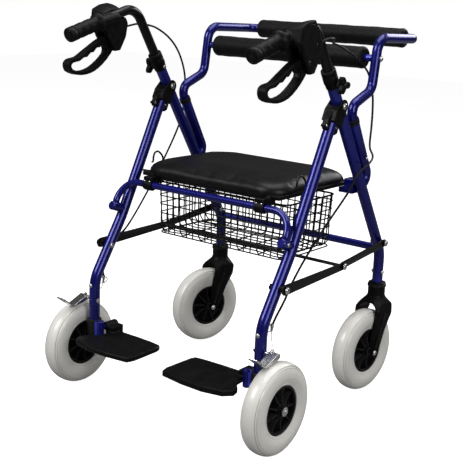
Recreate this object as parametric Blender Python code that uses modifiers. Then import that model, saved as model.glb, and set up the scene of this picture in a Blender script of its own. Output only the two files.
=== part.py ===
"""Folding rollator with seat, backrest, push bar, basket and flip-up footplates.

Metres, +Z up. The origin is on the floor, under the middle of the overall length and width. The
walking user stands at -Y and faces +Y, the seated rider faces -Y, and left is the walking user's
left, at -X. The dimensions below are in the frame's own coordinates; CENTRE_SHIFT moves the finished
object along Y so that its overall length is centred.
Each side frame lies in a plane of constant X, so its outlines are written as (y, z) points.
"""

import math

import bmesh
import bpy
from mathutils import Matrix, Vector

CENTRE_SHIFT = 0.00375

# Tubes, bores and running gaps
GAP = 0.0003
SIDE_X = 0.243
TUBE_R = 0.0127
INNER_TUBE_R = 0.011
HOOP_R = 0.008
ROD_R = 0.004
PIN_BORE_R = 0.0043
BORE_R = INNER_TUBE_R + GAP
SADDLE_R = TUBE_R + GAP
OUTER_FACE = SIDE_X + TUBE_R + 0.0005
INNER_FACE = SIDE_X - TUBE_R + GAP

# Rear leg, called the upright: from the handle collar down to the castor
UPRIGHT_TOP = Vector((-0.0558, 0.775))
UPRIGHT_KNEE = Vector((0.2235, 0.3386))
CASTOR_STEM_Y = 0.2235
UPRIGHT_FOOT_Z = 0.262
HANDLE_BORE_DEPTH = 0.200

# Front leg and its fold joint on the upright
FOLD_AXIS = Vector((-0.009, 0.702))
FOLD_RANGE = math.radians(18)
LEG_TOP = Vector((-0.0300, 0.672))
LEG_MIDDLE = Vector((-0.162, 0.402))
LEG_KNEE = Vector((-0.2495, 0.262))
LEG_FOOT_Z = 0.085

# Wheels
WHEEL_R = 0.100
TYRE_WIDTH = 0.048
TYRE_BORE_R = 0.054
WHEEL_STEPS = 28
FRONT_WHEEL = Vector((0.289, -0.2535, WHEEL_R))
CASTOR_TRAIL = 0.046
CASTOR_YAW = {"left": math.radians(-15), "right": math.radians(-5)}
AXLE_R = 0.005

# Folding brace between the legs
BRACE_FRONT = Vector((-0.207, 0.339))
BRACE_MIDDLE = Vector((0.016, 0.346))
BRACE_REAR = Vector((0.205, 0.365))
LINK_THICKNESS = 0.003
REAR_LINK_X = 0.2635
FRONT_LINK_X = 0.2672

# Seat, its hoop and the basket
SEAT_HINGE = Vector((-0.157, 0.488))
SEAT_CLIP_X = 0.160
SEAT_BASE_Z = (0.5045, 0.5140)
SEAT_TOP_Z = 0.545
SEAT_HALF_WIDTH = 0.200
SEAT_Y = (-0.153, 0.153)
BASKET_TOP_Z = 0.500
BASKET_BOTTOM_Z = 0.362
BASKET_WALL = 0.003

# Backrest
SOCKET_TOP = Vector((0.0555, 0.668))
SOCKET_BEND = Vector((0.134, 0.533))
SOCKET_BORE_DEPTH = 0.137
HOOP_LEG_DEPTH = 0.125
BACK_ROLL = Vector((0.142, 0.797))
PUSH_BAR = Vector((0.323, 0.838))
ROLL_HALF_LENGTH = 0.2135

# Handles
HANDLE_CORNER = Vector((-0.1228, 0.8797))
GRIP_END = Vector((-0.327, 0.8164))
GRIP_LENGTH = 0.095
HANDLE_DEPTH = 0.170
HANDLE_TRAVEL = (-0.02, 0.07)
HANDLE_LIFT = {"left": 0.009, "right": -0.004}
LEVER_X = 0.262
LEVER_WIDTH = 0.020
LEVER_AXIS = Vector((-0.192, 0.803))
KNOB_DROP = 0.031

# Brake shoes and footplates
BRAKE_AXIS = Vector((-0.250, 0.212))
BRAKE_X = (0.2665, 0.3025)
PLATE_HINGE = Vector((0.212, 0.153))
PLATE_Z = (0.129, 0.142)

SIDES = {"left": -1, "right": 1}

# Colour, roughness and metallic value of each finish
FINISHES = {
    "blue_paint": ((0.012, 0.018, 0.30), 0.25, 0.6),
    "black_paint": ((0.012, 0.012, 0.013), 0.35, 0.3),
    "black_plastic": ((0.015, 0.015, 0.016), 0.45, 0.0),
    "black_foam": ((0.010, 0.010, 0.011), 0.8, 0.0),
    "black_vinyl": ((0.012, 0.012, 0.013), 0.4, 0.0),
    "grey_tyre": ((0.70, 0.68, 0.63), 0.35, 0.0),
    "zinc": ((0.62, 0.63, 0.64), 0.3, 1.0),
    "black_wire": ((0.010, 0.010, 0.010), 0.3, 0.2),
}


def clear_scene():
    for obj in list(bpy.data.objects):
        bpy.data.objects.remove(obj)


def new_collection(name):
    collection = bpy.data.collections.new(name)
    bpy.context.scene.collection.children.link(collection)
    return collection


def finish(name):
    """The Principled material of one finish, made the first time it is asked for."""
    material = bpy.data.materials.get(name)
    if material is None:
        colour, roughness, metallic = FINISHES[name]
        material = bpy.data.materials.new(name)
        material.use_nodes = True
        shader = material.node_tree.nodes["Principled BSDF"]
        shader.inputs["Base Color"].default_value = (*colour, 1)
        shader.inputs["Roughness"].default_value = roughness
        shader.inputs["Metallic"].default_value = metallic
    return material


# ---------------------------------------------------------------- small geometry


def at(x, point):
    """A (y, z) point of a side outline, placed at x."""
    return Vector((x, point[0], point[1]))


def turned_by(vector, angle):
    """A (y, z) vector turned about +X."""
    c, s = math.cos(angle), math.sin(angle)
    return Vector((vector[0] * c - vector[1] * s, vector[0] * s + vector[1] * c))


def arc(centre, radius, start, end, count):
    """Points on a flat arc, both ends included; angles in degrees."""
    angles = [math.radians(start + (end - start) * i / (count - 1)) for i in range(count)]
    return [(centre[0] + radius * math.cos(a), centre[1] + radius * math.sin(a)) for a in angles]


def rounded(corners, step=18):
    """A polyline through (point, bend radius) corners, with an arc at each inner corner."""
    points = [corners[0][0]]
    for (before, _), (corner, radius), (after, _) in zip(corners, corners[1:], corners[2:]):
        arriving = (corner - before).normalized()
        leaving = (after - corner).normalized()
        turn = arriving.angle(leaving)
        tangent = radius * math.tan(turn / 2)
        start = corner - arriving * tangent
        inward = (leaving - arriving * arriving.dot(leaving)).normalized()
        count = max(2, math.ceil(math.degrees(turn) / step) + 1)
        for i in range(count):
            angle = turn * i / (count - 1)
            along = arriving * math.sin(angle) + inward * (1 - math.cos(angle))
            points.append(start + along * radius)
    points.append(corners[-1][0])
    return points


# ---------------------------------------------------------------- shapes


def add_object(name, data, look, cutter=False):
    obj = bpy.data.objects.new(name, data)
    if cutter:
        CUTTERS.objects.link(obj)
        obj.hide_render = True
        obj.display_type = "WIRE"
    else:
        PARTS.objects.link(obj)
        data.materials.append(finish(look))
    return obj


def poly_curve(name, outlines, dimensions, cyclic):
    data = bpy.data.curves.new(name, "CURVE")
    data.dimensions = dimensions
    for points in outlines:
        spline = data.splines.new("POLY")
        spline.points.add(len(points) - 1)
        for spot, point in zip(spline.points, points):
            spot.co = (*point, 1) if len(point) == 3 else (*point, 0, 1)
        spline.use_cyclic_u = cyclic
    return data


def tube(name, corners, radius, look, sides=12):
    """A round bar along bent corners; sides is 8 or 12."""
    data = poly_curve(name, [rounded(corners)], "3D", False)
    data.bevel_depth = radius
    data.bevel_resolution = {8: 2, 12: 4}[sides]
    data.use_fill_caps = True
    return add_object(name, data, look, cutter=look is None)


def as_mesh(curve):
    """The curve object replaced by a welded mesh object of the same name."""
    bpy.context.view_layer.update()
    graph = bpy.context.evaluated_depsgraph_get()
    mesh = bpy.data.meshes.new_from_object(curve.evaluated_get(graph))
    shape = bmesh.new()
    shape.from_mesh(mesh)
    bmesh.ops.remove_doubles(shape, verts=shape.verts, dist=1e-6)
    bmesh.ops.recalc_face_normals(shape, faces=shape.faces)
    shape.to_mesh(mesh)
    shape.free()
    name, look, world = curve.name, curve.data.materials, curve.matrix_world.copy()
    look = look[0].name if look else None
    bpy.data.objects.remove(curve)
    mesh.materials.clear()
    obj = add_object(name, mesh, look, cutter=look is None)
    obj.matrix_world = world
    return obj


def slab(name, outline, thickness, centre, look, plane="side", holes=()):
    """A flat outline made thick. plane "side" reads (y, z) points, "floor" reads (x, y)."""
    data = poly_curve(name, [outline, *holes], "2D", True)
    data.fill_mode = "BOTH"
    data.extrude = thickness / 2
    obj = add_object(name, data, look, cutter=look is None)
    if plane == "side":
        obj.rotation_euler = (math.pi / 2, 0, math.pi / 2)
        obj.location.x = centre
    elif plane == "front":
        obj.rotation_euler = (math.pi / 2, 0, 0)
        obj.location.y = centre
    else:
        obj.location.z = centre
    return as_mesh(obj)


def cylinder(name, start, end, radius, look=None, sides=16):
    """A cylinder between two points. As a cutter its flats, not its corners, are at radius."""
    start, end = Vector(start), Vector(end)
    corner_r = radius if look else radius / math.cos(math.pi / sides)
    shape = bmesh.new()
    bmesh.ops.create_cone(
        shape,
        cap_ends=True,
        segments=sides,
        radius1=corner_r,
        radius2=corner_r,
        depth=(end - start).length,
    )
    mesh = bpy.data.meshes.new(name)
    shape.to_mesh(mesh)
    shape.free()
    obj = add_object(name, mesh, look, cutter=look is None)
    turn = Vector((0, 0, 1)).rotation_difference(end - start)
    obj.matrix_world = Matrix.Translation((start + end) / 2) @ turn.to_matrix().to_4x4()
    return obj


def across(name, x_start, x_end, point, radius, look=None, sides=16):
    """A cylinder along X through a (y, z) point."""
    return cylinder(name, at(x_start, point), at(x_end, point), radius, look, sides)


def block(name, low, high, look=None):
    """An axis-aligned box between two corners."""
    low, high = Vector(low), Vector(high)
    shape = bmesh.new()
    bmesh.ops.create_cube(shape, size=1)
    bmesh.ops.scale(shape, vec=high - low, verts=shape.verts)
    bmesh.ops.translate(shape, vec=(low + high) / 2, verts=shape.verts)
    mesh = bpy.data.meshes.new(name)
    shape.to_mesh(mesh)
    shape.free()
    return add_object(name, mesh, look, cutter=look is None)


def turned(name, profile, look, steps, start, direction, closed=False):
    """A profile of (radius, height) points, outer side top to bottom, turned about direction."""
    mesh = bpy.data.meshes.new(name)
    edges = [(i, i + 1) for i in range(len(profile) - 1)]
    if closed:
        edges.append((len(profile) - 1, 0))
    mesh.from_pydata([(r, 0, h) for r, h in profile], edges, [])
    obj = add_object(name, mesh, look)
    screw = obj.modifiers.new("Screw", "SCREW")
    screw.steps = steps
    screw.render_steps = steps
    screw.use_merge_vertices = True
    screw.merge_threshold = 0.00001
    screw.use_smooth_shade = True
    turn = Vector((0, 0, 1)).rotation_difference(Vector(direction))
    obj.matrix_world = Matrix.Translation(Vector(start)) @ turn.to_matrix().to_4x4()
    return obj


def combine(obj, operation, *others):
    for other in others:
        boolean = obj.modifiers.new(operation.title(), "BOOLEAN")
        boolean.operation = operation
        boolean.object = other
        boolean.solver = "EXACT"
    return obj


def cut(obj, *cutters):
    return combine(obj, "DIFFERENCE", *cutters)


def join(obj, *helpers):
    return combine(obj, "UNION", *helpers)


def stadium(start, end, start_r, end_r):
    """Outline of a flat link with round ends."""
    direction = math.degrees(math.atan2(end[1] - start[1], end[0] - start[0]))
    tail = arc(start, start_r, direction + 90, direction + 270, 7)
    head = arc(end, end_r, direction - 90, direction + 90, 7)
    return tail + head


def smooth_shade(obj):
    if obj.type == "MESH" and obj.data.polygons:
        obj.data.shade_smooth()
        obj.data.set_sharp_from_angle(angle=math.radians(35))


def axis_empty(name, position, members):
    """An empty on a joint's axis. Its members keep their places and follow it."""
    empty = bpy.data.objects.new(name, None)
    empty.location = position
    empty.empty_display_size = 0.03
    PARTS.objects.link(empty)
    for member in members:
        member.parent = empty
        member.matrix_parent_inverse = Matrix.Translation(-Vector(position))
    return empty


# ---------------------------------------------------------------- side frames


def upright_direction():
    """Unit vector up the slope of the upright, as (y, z)."""
    return (UPRIGHT_TOP - UPRIGHT_KNEE).normalized()


def up_the_upright(distance):
    return UPRIGHT_TOP + upright_direction() * distance


def make_upright(side, x):
    foot = (CASTOR_STEM_Y, UPRIGHT_FOOT_Z)
    name = f"upright_{side}"
    corners = [(at(x, UPRIGHT_TOP), 0), (at(x, UPRIGHT_KNEE), 0.08), (at(x, foot), 0)]
    body = as_mesh(tube(name, corners, TUBE_R, "blue_paint"))
    stem_top = Vector((x, CASTOR_STEM_Y, UPRIGHT_FOOT_Z + 0.035))
    return cut(
        body,
        cylinder(
            f"{name}_handle_bore",
            at(x, up_the_upright(-HANDLE_BORE_DEPTH)),
            at(x, up_the_upright(0.01)),
            BORE_R,
        ),
        cylinder(f"{name}_stem_bore", at(x, (CASTOR_STEM_Y, 0.25)), stem_top, 0.0063),
        across(f"{name}_fold_bore", x - 0.03, x + 0.03, FOLD_AXIS, PIN_BORE_R),
        across(f"{name}_brace_bore", x - 0.03, x + 0.03, BRACE_REAR, PIN_BORE_R),
    )


def socket_direction():
    """Unit vector down the backrest socket, as (y, z)."""
    return (SOCKET_BEND - SOCKET_TOP).normalized()


def make_socket(side, x):
    """A bent tube welded behind the upright, bored to take one leg of the backrest hoop."""
    name = f"backrest_socket_{side}"
    weld = Vector((0.112, 0.513))
    corners = [(at(x, SOCKET_TOP), 0), (at(x, SOCKET_BEND), 0.022), (at(x, weld), 0)]
    body = as_mesh(tube(name, corners, TUBE_R, "blue_paint"))
    bore_end = SOCKET_TOP + socket_direction() * SOCKET_BORE_DEPTH
    bore_mouth = SOCKET_TOP - socket_direction() * 0.01
    return cut(
        body,
        cylinder(f"{name}_bore", at(x, bore_end), at(x, bore_mouth), BORE_R),
        cylinder(
            f"{name}_saddle",
            at(x, up_the_upright(-0.15)),
            at(x, up_the_upright(-0.45)),
            SADDLE_R,
        ),
    )


def leg_down():
    return (LEG_MIDDLE - LEG_TOP).normalized()


def leg_point(down, back):
    """A (y, z) point given along the top of the front leg and square to it, towards the upright."""
    along = leg_down()
    square = Vector((-along[1], along[0]))
    return LEG_TOP + along * down + square * back


def leg_corners(x):
    foot = Vector((LEG_KNEE[0], LEG_FOOT_Z))
    bends = [(LEG_TOP, 0), (LEG_MIDDLE, 0.3), (LEG_KNEE, 0.08), (foot, 0)]
    return [(at(x, point), radius) for point, radius in bends]


def make_front_leg(side, x):
    name = f"front_leg_{side}"
    body = as_mesh(tube(name, leg_corners(x), TUBE_R, "blue_paint"))
    wheel = (FRONT_WHEEL.y, FRONT_WHEEL.z)
    return cut(
        body,
        across(f"{name}_axle_bore", x - 0.03, x + 0.03, wheel, AXLE_R + GAP),
        across(f"{name}_brace_bore", x - 0.03, x + 0.03, BRACE_FRONT, PIN_BORE_R),
        across(f"{name}_brake_bore", x - 0.03, x + 0.03, BRAKE_AXIS, 0.0033),
    )


def make_leg_head(side, x):
    """The black fitting on top of the front leg: two cheeks round the upright, a clamp below."""
    name = f"leg_head_{side}"
    fold_down = (FOLD_AXIS - LEG_TOP).dot(leg_down())
    fold_back = (FOLD_AXIS - leg_point(fold_down, 0)).dot(leg_point(0, 1) - LEG_TOP)
    dome = arc((fold_down, fold_back), 0.0145, -100, -260, 9)
    cheek = [(0.006, -0.016), (-0.018, -0.0165), *dome, (0.006, 0.020)]
    ears = [
        (-0.018, -0.0155),
        (0.004, -0.0235),
        (0.021, -0.0235),
        (0.0265, -0.018),
        (0.0265, 0.018),
        (0.020, 0.0245),
        (0.004, 0.0245),
        (-0.018, 0.018),
    ]
    body = slab(name, [leg_point(*p) for p in cheek], 0.033, x, "black_plastic")
    ears = slab(f"{name}_ears", [leg_point(*p) for p in ears], 0.014, x, None)
    # The upright swings 18 degrees inside the cheeks, so the slot opens to both its limits.
    front = Vector((-upright_direction()[1], upright_direction()[0]))
    middle = FOLD_AXIS + turned_by(front, -FOLD_RANGE / 2) * (TUBE_R + 0.0011)
    high = FOLD_AXIS + front * SADDLE_R + upright_direction() * 0.06
    low = turned_by(front * (SADDLE_R + GAP) - upright_direction() * 0.09, -FOLD_RANGE)
    low = FOLD_AXIS + low
    behind = Vector((0.1, 0))
    slot = slab(f"{name}_slot", [high, middle, low, low + behind, high + behind], 0.0262, x, None)
    leg_bore = cylinder(f"{name}_leg_bore", at(x, leg_point(-GAP, 0)), at(x, leg_point(0.05, 0)), SADDLE_R)
    bolt_bore = across(f"{name}_bolt_bore", x - 0.03, x + 0.03, FOLD_AXIS, PIN_BORE_R)
    return cut(join(body, ears), slot, leg_bore, bolt_bore)


def make_fold_bolt(side, x):
    head, cheek, shank = 0.0060, 0.0168, ROD_R
    profile = [
        (0, 0.0198),
        (head * 0.7, 0.0198),
        (head, 0.0186),
        (head, cheek),
        (shank, cheek),
        (shank, -cheek),
        (head, -cheek),
        (head, -0.0198),
        (0, -0.0198),
    ]
    return turned(f"fold_bolt_{side}", profile, "zinc", 12, at(x, FOLD_AXIS), (1, 0, 0))


def make_collar(side, sign, x):
    """The clamp on the upright's mouth, with a threaded boss for the knob on its outer side."""
    name = f"clamp_collar_{side}"
    lip, bottom = 0.006, -0.038
    profile = [
        (0.0135, lip),
        (0.0162, lip - 0.003),
        (0.0162, -0.024),
        (0.0146, bottom),
        (SADDLE_R + GAP, bottom),
        (SADDLE_R + GAP, GAP),
        (BORE_R + GAP, GAP),
        (BORE_R + GAP, lip),
    ]
    direction = (0, *upright_direction())
    body = turned(name, profile, "black_plastic", 16, at(x, UPRIGHT_TOP), direction, closed=True)
    knob = up_the_upright(-KNOB_DROP)
    boss = across(f"{name}_boss", sign * 0.2585, sign * 0.2645, knob, 0.008)
    bore = across(f"{name}_boss_bore", sign * 0.2560, sign * 0.27, knob, 0.0033)
    return cut(join(body, boss), bore)


def make_knob(side, sign):
    """A three-lobed hand knob with its screw."""
    name = f"clamp_knob_{side}"
    centre = up_the_upright(-KNOB_DROP)
    outline = []
    for i in range(24):
        angle = math.tau * i / 24
        radius = 0.0145 + 0.0060 * math.cos(3 * angle)
        outline.append((centre[0] + radius * math.cos(angle), centre[1] + radius * math.sin(angle)))
    body = slab(name, outline, 0.010, sign * 0.2715, "black_plastic")
    screw = across(f"{name}_screw", sign * 0.2566, sign * 0.268, centre, 0.003, sides=8)
    return join(body, screw)


def make_crossbar():
    point = (CASTOR_STEM_Y, 0.345)
    end = INNER_FACE - 2 * GAP
    return across("rear_crossbar", -end, end, point, 0.009, "blue_paint", sides=16)


def make_seat_rest(side, sign):
    """A bracket on the upright, with a tongue under the edge of the seat board."""
    outer = sign * (INNER_FACE - 0.0008)
    upper_x, tongue_x = sorted((sign * 0.206, outer)), sorted((sign * 0.1925, outer))
    seat_z = SEAT_BASE_Z[0] - GAP
    name = f"seat_rest_{side}"
    bracket = block(name, (upper_x[0], 0.098, 0.497), (upper_x[1], 0.128, 0.526), "blue_paint")
    tongue = block(f"{name}_tongue", (tongue_x[0], 0.098, 0.4925), (tongue_x[1], 0.128, seat_z))
    return join(bracket, tongue)


# ---------------------------------------------------------------- seat hoop, seat and basket


def make_seat_hoop():
    """A bent tube from one front leg, up in front of it and across to the other."""
    weld, foot = Vector((-0.1535, 0.418)), Vector((-0.1875, 0.429))
    half = []
    for sign in (-1, 1):
        x = sign * SIDE_X
        half.append([(at(x, weld), 0), (at(x, foot), 0.010), (at(x, SEAT_HINGE), 0.050)])
    corners = half[0] + half[1][::-1]
    body = as_mesh(tube("seat_hoop", corners, HOOP_R, "blue_paint"))
    for sign in (-1, 1):
        saddle = tube(f"seat_hoop_saddle_{sign}", leg_corners(sign * SIDE_X), SADDLE_R, None)
        cut(body, as_mesh(saddle))
    return body


def make_seat_base():
    """The board under the cushion, with two clips that turn on the seat hoop."""
    low, high = (-0.196, -0.143, SEAT_BASE_Z[0]), (0.196, 0.146, SEAT_BASE_Z[1])
    base = block("seat_base", low, high, "black_plastic")
    for sign in (-1, 1):
        x = sign * SEAT_CLIP_X
        name = f"seat_clip_{sign}"
        ring = across(f"{name}_ring", x - 0.0125, x + 0.0125, SEAT_HINGE, 0.0130, sides=20)
        neck = block(f"{name}_neck", (x - 0.012, -0.166, 0.490), (x + 0.012, -0.120, 0.508))
        bore = across(f"{name}_bore", x - 0.02, x + 0.02, SEAT_HINGE, HOOP_R + GAP, sides=20)
        cut(join(base, ring, neck), bore)
    return base


def make_seat_pad():
    corner, edge = 0.045, 0.012
    front, rear = SEAT_Y
    width = SEAT_HALF_WIDTH
    outline = []
    for cx, cy, start in (
        (width - corner, rear - corner, 0),
        (corner - width, rear - corner, 90),
        (corner - width, front + corner, 180),
        (width - corner, front + corner, 270),
    ):
        outline += arc((cx, cy), corner, start, start + 90, 5)
    data = poly_curve("seat_pad", [outline], "2D", True)
    data.fill_mode = "BOTH"
    bottom = SEAT_BASE_Z[1] + GAP
    data.extrude = (SEAT_TOP_Z - bottom) / 2 - edge
    data.bevel_depth = edge
    data.bevel_resolution = 1
    data.offset = -edge
    pad = add_object("seat_pad", data, "black_vinyl")
    pad.location.z = (SEAT_TOP_Z + bottom) / 2
    return as_mesh(pad)


def make_basket():
    """An open tapered box; its wires are solid walls here."""
    shape = bmesh.new()
    bmesh.ops.create_cube(shape, size=2)
    for vert in shape.verts:
        top = vert.co.z > 0
        half_width = 0.190 if top else 0.176
        front, rear = (-0.103, 0.097) if top else (-0.100, 0.098)
        y = rear if vert.co.y > 0 else front
        z = BASKET_TOP_Z if top else BASKET_BOTTOM_Z
        vert.co = (math.copysign(half_width, vert.co.x), y, z)
    lid = max(shape.faces, key=lambda face: face.calc_center_median().z)
    bmesh.ops.delete(shape, geom=[lid], context="FACES_ONLY")
    mesh = bpy.data.meshes.new("basket")
    shape.to_mesh(mesh)
    shape.free()
    obj = add_object("basket", mesh, "black_wire")
    walls = obj.modifiers.new("Walls", "SOLIDIFY")
    walls.thickness = BASKET_WALL
    walls.offset = -1
    return obj


# ---------------------------------------------------------------- backrest


def make_backrest_hoop():
    """One tube: up out of the left socket, back, across as the push bar, and down again."""
    down = socket_direction()
    corners = [
        (SOCKET_TOP + down * HOOP_LEG_DEPTH, 0),
        (SOCKET_TOP - down * 0.031, 0.024),
        (Vector((0.128, 0.728)), 0.030),
        (Vector((0.144, 0.842)), 0.035),
        (PUSH_BAR, 0.028),
    ]
    left = [(at(-SIDE_X, point), radius) for point, radius in corners]
    right = [(at(SIDE_X, point), radius) for point, radius in corners]
    return tube("backrest_hoop", left + right[::-1], INNER_TUBE_R, "blue_paint")


def make_back_rail():
    end = SIDE_X - INNER_TUBE_R - GAP
    return across("back_rail", -end, end, BACK_ROLL, HOOP_R, "blue_paint", sides=12)


def make_roll(name, point, outer_r, bore_r):
    """A foam sleeve along X with softened ends."""
    end, soft = ROLL_HALF_LENGTH, 0.005
    profile = [
        (outer_r - soft, end),
        (outer_r, end - soft),
        (outer_r, soft - end),
        (outer_r - soft, -end),
        (bore_r, -end),
        (bore_r, end),
    ]
    return turned(name, profile, "black_foam", 16, at(0, point), (1, 0, 0), closed=True)


# ---------------------------------------------------------------- handles and brakes


def grip_direction():
    """Unit vector along the grip, towards the user, as (y, z)."""
    return (GRIP_END - HANDLE_CORNER).normalized()


def make_handle_tube(side, x):
    """Slides in the upright. The long slot clears the fold bolt over the whole travel."""
    name = f"handle_tube_{side}"
    start = up_the_upright(-HANDLE_DEPTH)
    end = GRIP_END - grip_direction() * 0.005
    corners = [(at(x, start), 0), (at(x, HANDLE_CORNER), 0.045), (at(x, end), 0)]
    body = as_mesh(tube(name, corners, INNER_TUBE_R, "black_paint"))
    bolt = (FOLD_AXIS - UPRIGHT_TOP).dot(upright_direction()) - HANDLE_LIFT[side]
    low, high = bolt - HANDLE_TRAVEL[1], bolt - HANDLE_TRAVEL[0]
    outline = stadium(up_the_upright(low), up_the_upright(high), 0.0045, 0.0045)
    return cut(body, slab(f"{name}_slot", outline, 0.03, x, None))


def make_grip(side, x):
    length, radius = GRIP_LENGTH, 0.0165
    profile = [
        (0, length),
        (radius - 0.004, length),
        (radius, length - 0.004),
        (radius, 0.012),
        (0.0215, 0.009),
        (0.0215, 0.002),
        (0.0190, 0),
        (BORE_R, 0),
        (BORE_R, length - 0.004),
        (0, length - 0.004),
    ]
    start = GRIP_END - grip_direction() * length
    direction = (0, *grip_direction())
    return turned(f"grip_{side}", profile, "black_plastic", 16, at(x, start), direction)


def make_brake_housing(side, sign, x):
    """The lever's bracket: it clamps the handle tube and holds the lever between two cheeks."""
    name = f"brake_housing_{side}"
    outline = [
        (-0.222, 0.872),
        (-0.200, 0.882),
        (-0.176, 0.886),
        (-0.158, 0.866),
        (-0.146, 0.842),
        (-0.152, 0.812),
        (-0.170, 0.782),
        (-0.186, 0.780),
        (-0.210, 0.812),
        (-0.226, 0.842),
    ]
    body = slab(name, outline, 0.042, sign * 0.2615, "black_plastic")
    start, end = HANDLE_CORNER, GRIP_END
    along = grip_direction()
    ring_start, ring_end = end - along * (GRIP_LENGTH + 0.055), end - along * (GRIP_LENGTH + GAP)
    ring = cylinder(f"{name}_ring", at(x, ring_start), at(x, ring_end), 0.0165, sides=20)
    lever_room = [(-0.26, 0.75), (-0.160, 0.75), (-0.160, 0.822), (-0.214, 0.8365), (-0.26, 0.8365)]
    return cut(
        join(body, ring),
        cylinder(f"{name}_tube_bore", at(x, start), at(x, end), BORE_R),
        slab(f"{name}_slot", lever_room, LEVER_WIDTH + 0.0016, sign * LEVER_X, None),
        across(f"{name}_pin_bore", sign * 0.242, sign * 0.2797, LEVER_AXIS, 0.0034),
    )


def smooth_outline(points, per_span):
    """A closed curve through the points, by Catmull-Rom spans."""
    count = len(points)
    result = []
    for i in range(count):
        p0, p1, p2, p3 = (Vector(points[(i + k - 1) % count]) for k in range(4))
        for j in range(per_span):
            t = j / per_span
            result.append(
                0.5
                * (
                    2 * p1
                    + (p2 - p0) * t
                    + (2 * p0 - 5 * p1 + 4 * p2 - p3) * t**2
                    + (3 * p1 - p0 - 3 * p2 + p3) * t**3
                )
            )
    return result


def make_lever(side, sign):
    """A closed loop lever with its pivot pin."""
    name = f"brake_lever_{side}"
    outside = [
        (-0.192, 0.8140),
        (-0.220, 0.8055),
        (-0.246, 0.7915),
        (-0.268, 0.7790),
        (-0.287, 0.7685),
        (-0.303, 0.7660),
        (-0.3145, 0.7615),
        (-0.3190, 0.7520),
        (-0.3130, 0.7380),
        (-0.290, 0.7300),
        (-0.266, 0.7300),
        (-0.240, 0.7365),
        (-0.214, 0.7520),
        (-0.192, 0.7715),
        (-0.179, 0.7900),
        (-0.180, 0.8060),
    ]
    inside = [
        (-0.213, 0.7955),
        (-0.224, 0.7885),
        (-0.233, 0.7880),
        (-0.243, 0.7785),
        (-0.252, 0.7775),
        (-0.262, 0.7685),
        (-0.272, 0.7675),
        (-0.285, 0.7600),
        (-0.302, 0.7575),
        (-0.3095, 0.7515),
        (-0.305, 0.7430),
        (-0.288, 0.7385),
        (-0.267, 0.7385),
        (-0.244, 0.7450),
        (-0.220, 0.7595),
        (-0.202, 0.7755),
        (-0.202, 0.7890),
    ]
    body = slab(
        name,
        smooth_outline(outside, 2),
        LEVER_WIDTH,
        sign * LEVER_X,
        "black_plastic",
        holes=[smooth_outline(inside, 2)],
    )
    pin = across(f"{name}_pin", sign * 0.245, sign * 0.279, LEVER_AXIS, 0.003, sides=8)
    return join(body, pin)


def make_brake_arm(side, sign):
    """A bent plate over the tyre with a turned-up toe, on a pin through the front leg."""
    name = f"brake_arm_{side}"
    bend, toe, plate = (-0.292, 0.2000), (-0.327, 0.2255), 0.0015
    near = (BRAKE_AXIS[0], BRAKE_AXIS[1])
    outline = [
        (toe[0] - 0.0010, toe[1] - 0.0012),
        (bend[0] - 0.0006, bend[1] - plate),
        (near[0], near[1] - 0.0065),
        (near[0] + 0.0060, near[1] - 0.003),
        (near[0] + 0.0060, near[1] + 0.004),
        (near[0], near[1] + 0.0065),
        (bend[0], bend[1] + plate),
        (toe[0] + 0.0010, toe[1] + 0.0012),
    ]
    low, high = BRAKE_X
    body = slab(name, outline, high - low, sign * (low + high) / 2, "zinc")
    pin = across(f"{name}_pin", sign * INNER_FACE, sign * (low + 0.002), BRAKE_AXIS, 0.003, sides=8)
    return join(body, pin)


CABLE_ROUTES = {
    # The left cable hangs outside its side frame. The right one starts inside and crosses outside
    # behind the upright.
    "left": [
        (0.2680, -0.1310, 0.8410),
        (0.2700, -0.1120, 0.8440),
        (0.2720, -0.0850, 0.8470),
        (0.2750, -0.0520, 0.8445),
        (0.2765, -0.0165, 0.8370),
        (0.2765, 0.0256, 0.8165),
        (0.2765, 0.0586, 0.7885),
        (0.2765, 0.0820, 0.7520),
        (0.2765, 0.0945, 0.7100),
        (0.2765, 0.0930, 0.6500),
        (0.2765, 0.0680, 0.5820),
        (0.2765, -0.0230, 0.4560),
        (0.2765, -0.1250, 0.3560),
        (0.2765, -0.2300, 0.2450),
    ],
    "right": [
        (0.2620, -0.1240, 0.8350),
        (0.2610, -0.1000, 0.8430),
        (0.2580, -0.0680, 0.8440),
        (0.2430, -0.0420, 0.8400),
        (0.2230, -0.0120, 0.8320),
        (0.2180, 0.0266, 0.8240),
        (0.2180, 0.0824, 0.8035),
        (0.2180, 0.1286, 0.7800),
        (0.2180, 0.1573, 0.7560),
        (0.2190, 0.1760, 0.7150),
        (0.2210, 0.1785, 0.6800),
        (0.2250, 0.1720, 0.6400),
        (0.2350, 0.1530, 0.5980),
        (0.2560, 0.1330, 0.5800),
        (0.2700, 0.0960, 0.5700),
        (0.2740, 0.0400, 0.5500),
        (0.2760, 0.0050, 0.5180),
        (0.2765, -0.0687, 0.4550),
        (0.2765, -0.1374, 0.3860),
        (0.2765, -0.2300, 0.2450),
    ],
}


def make_cable(side, sign):
    route = [Vector((sign * x, y, z)) for x, y, z in CABLE_ROUTES[side]]
    corners = [(point, 0.02) for point in route]
    return tube(f"brake_cable_{side}", corners, 0.0025, "black_plastic", sides=8)


# ---------------------------------------------------------------- folding brace


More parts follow.
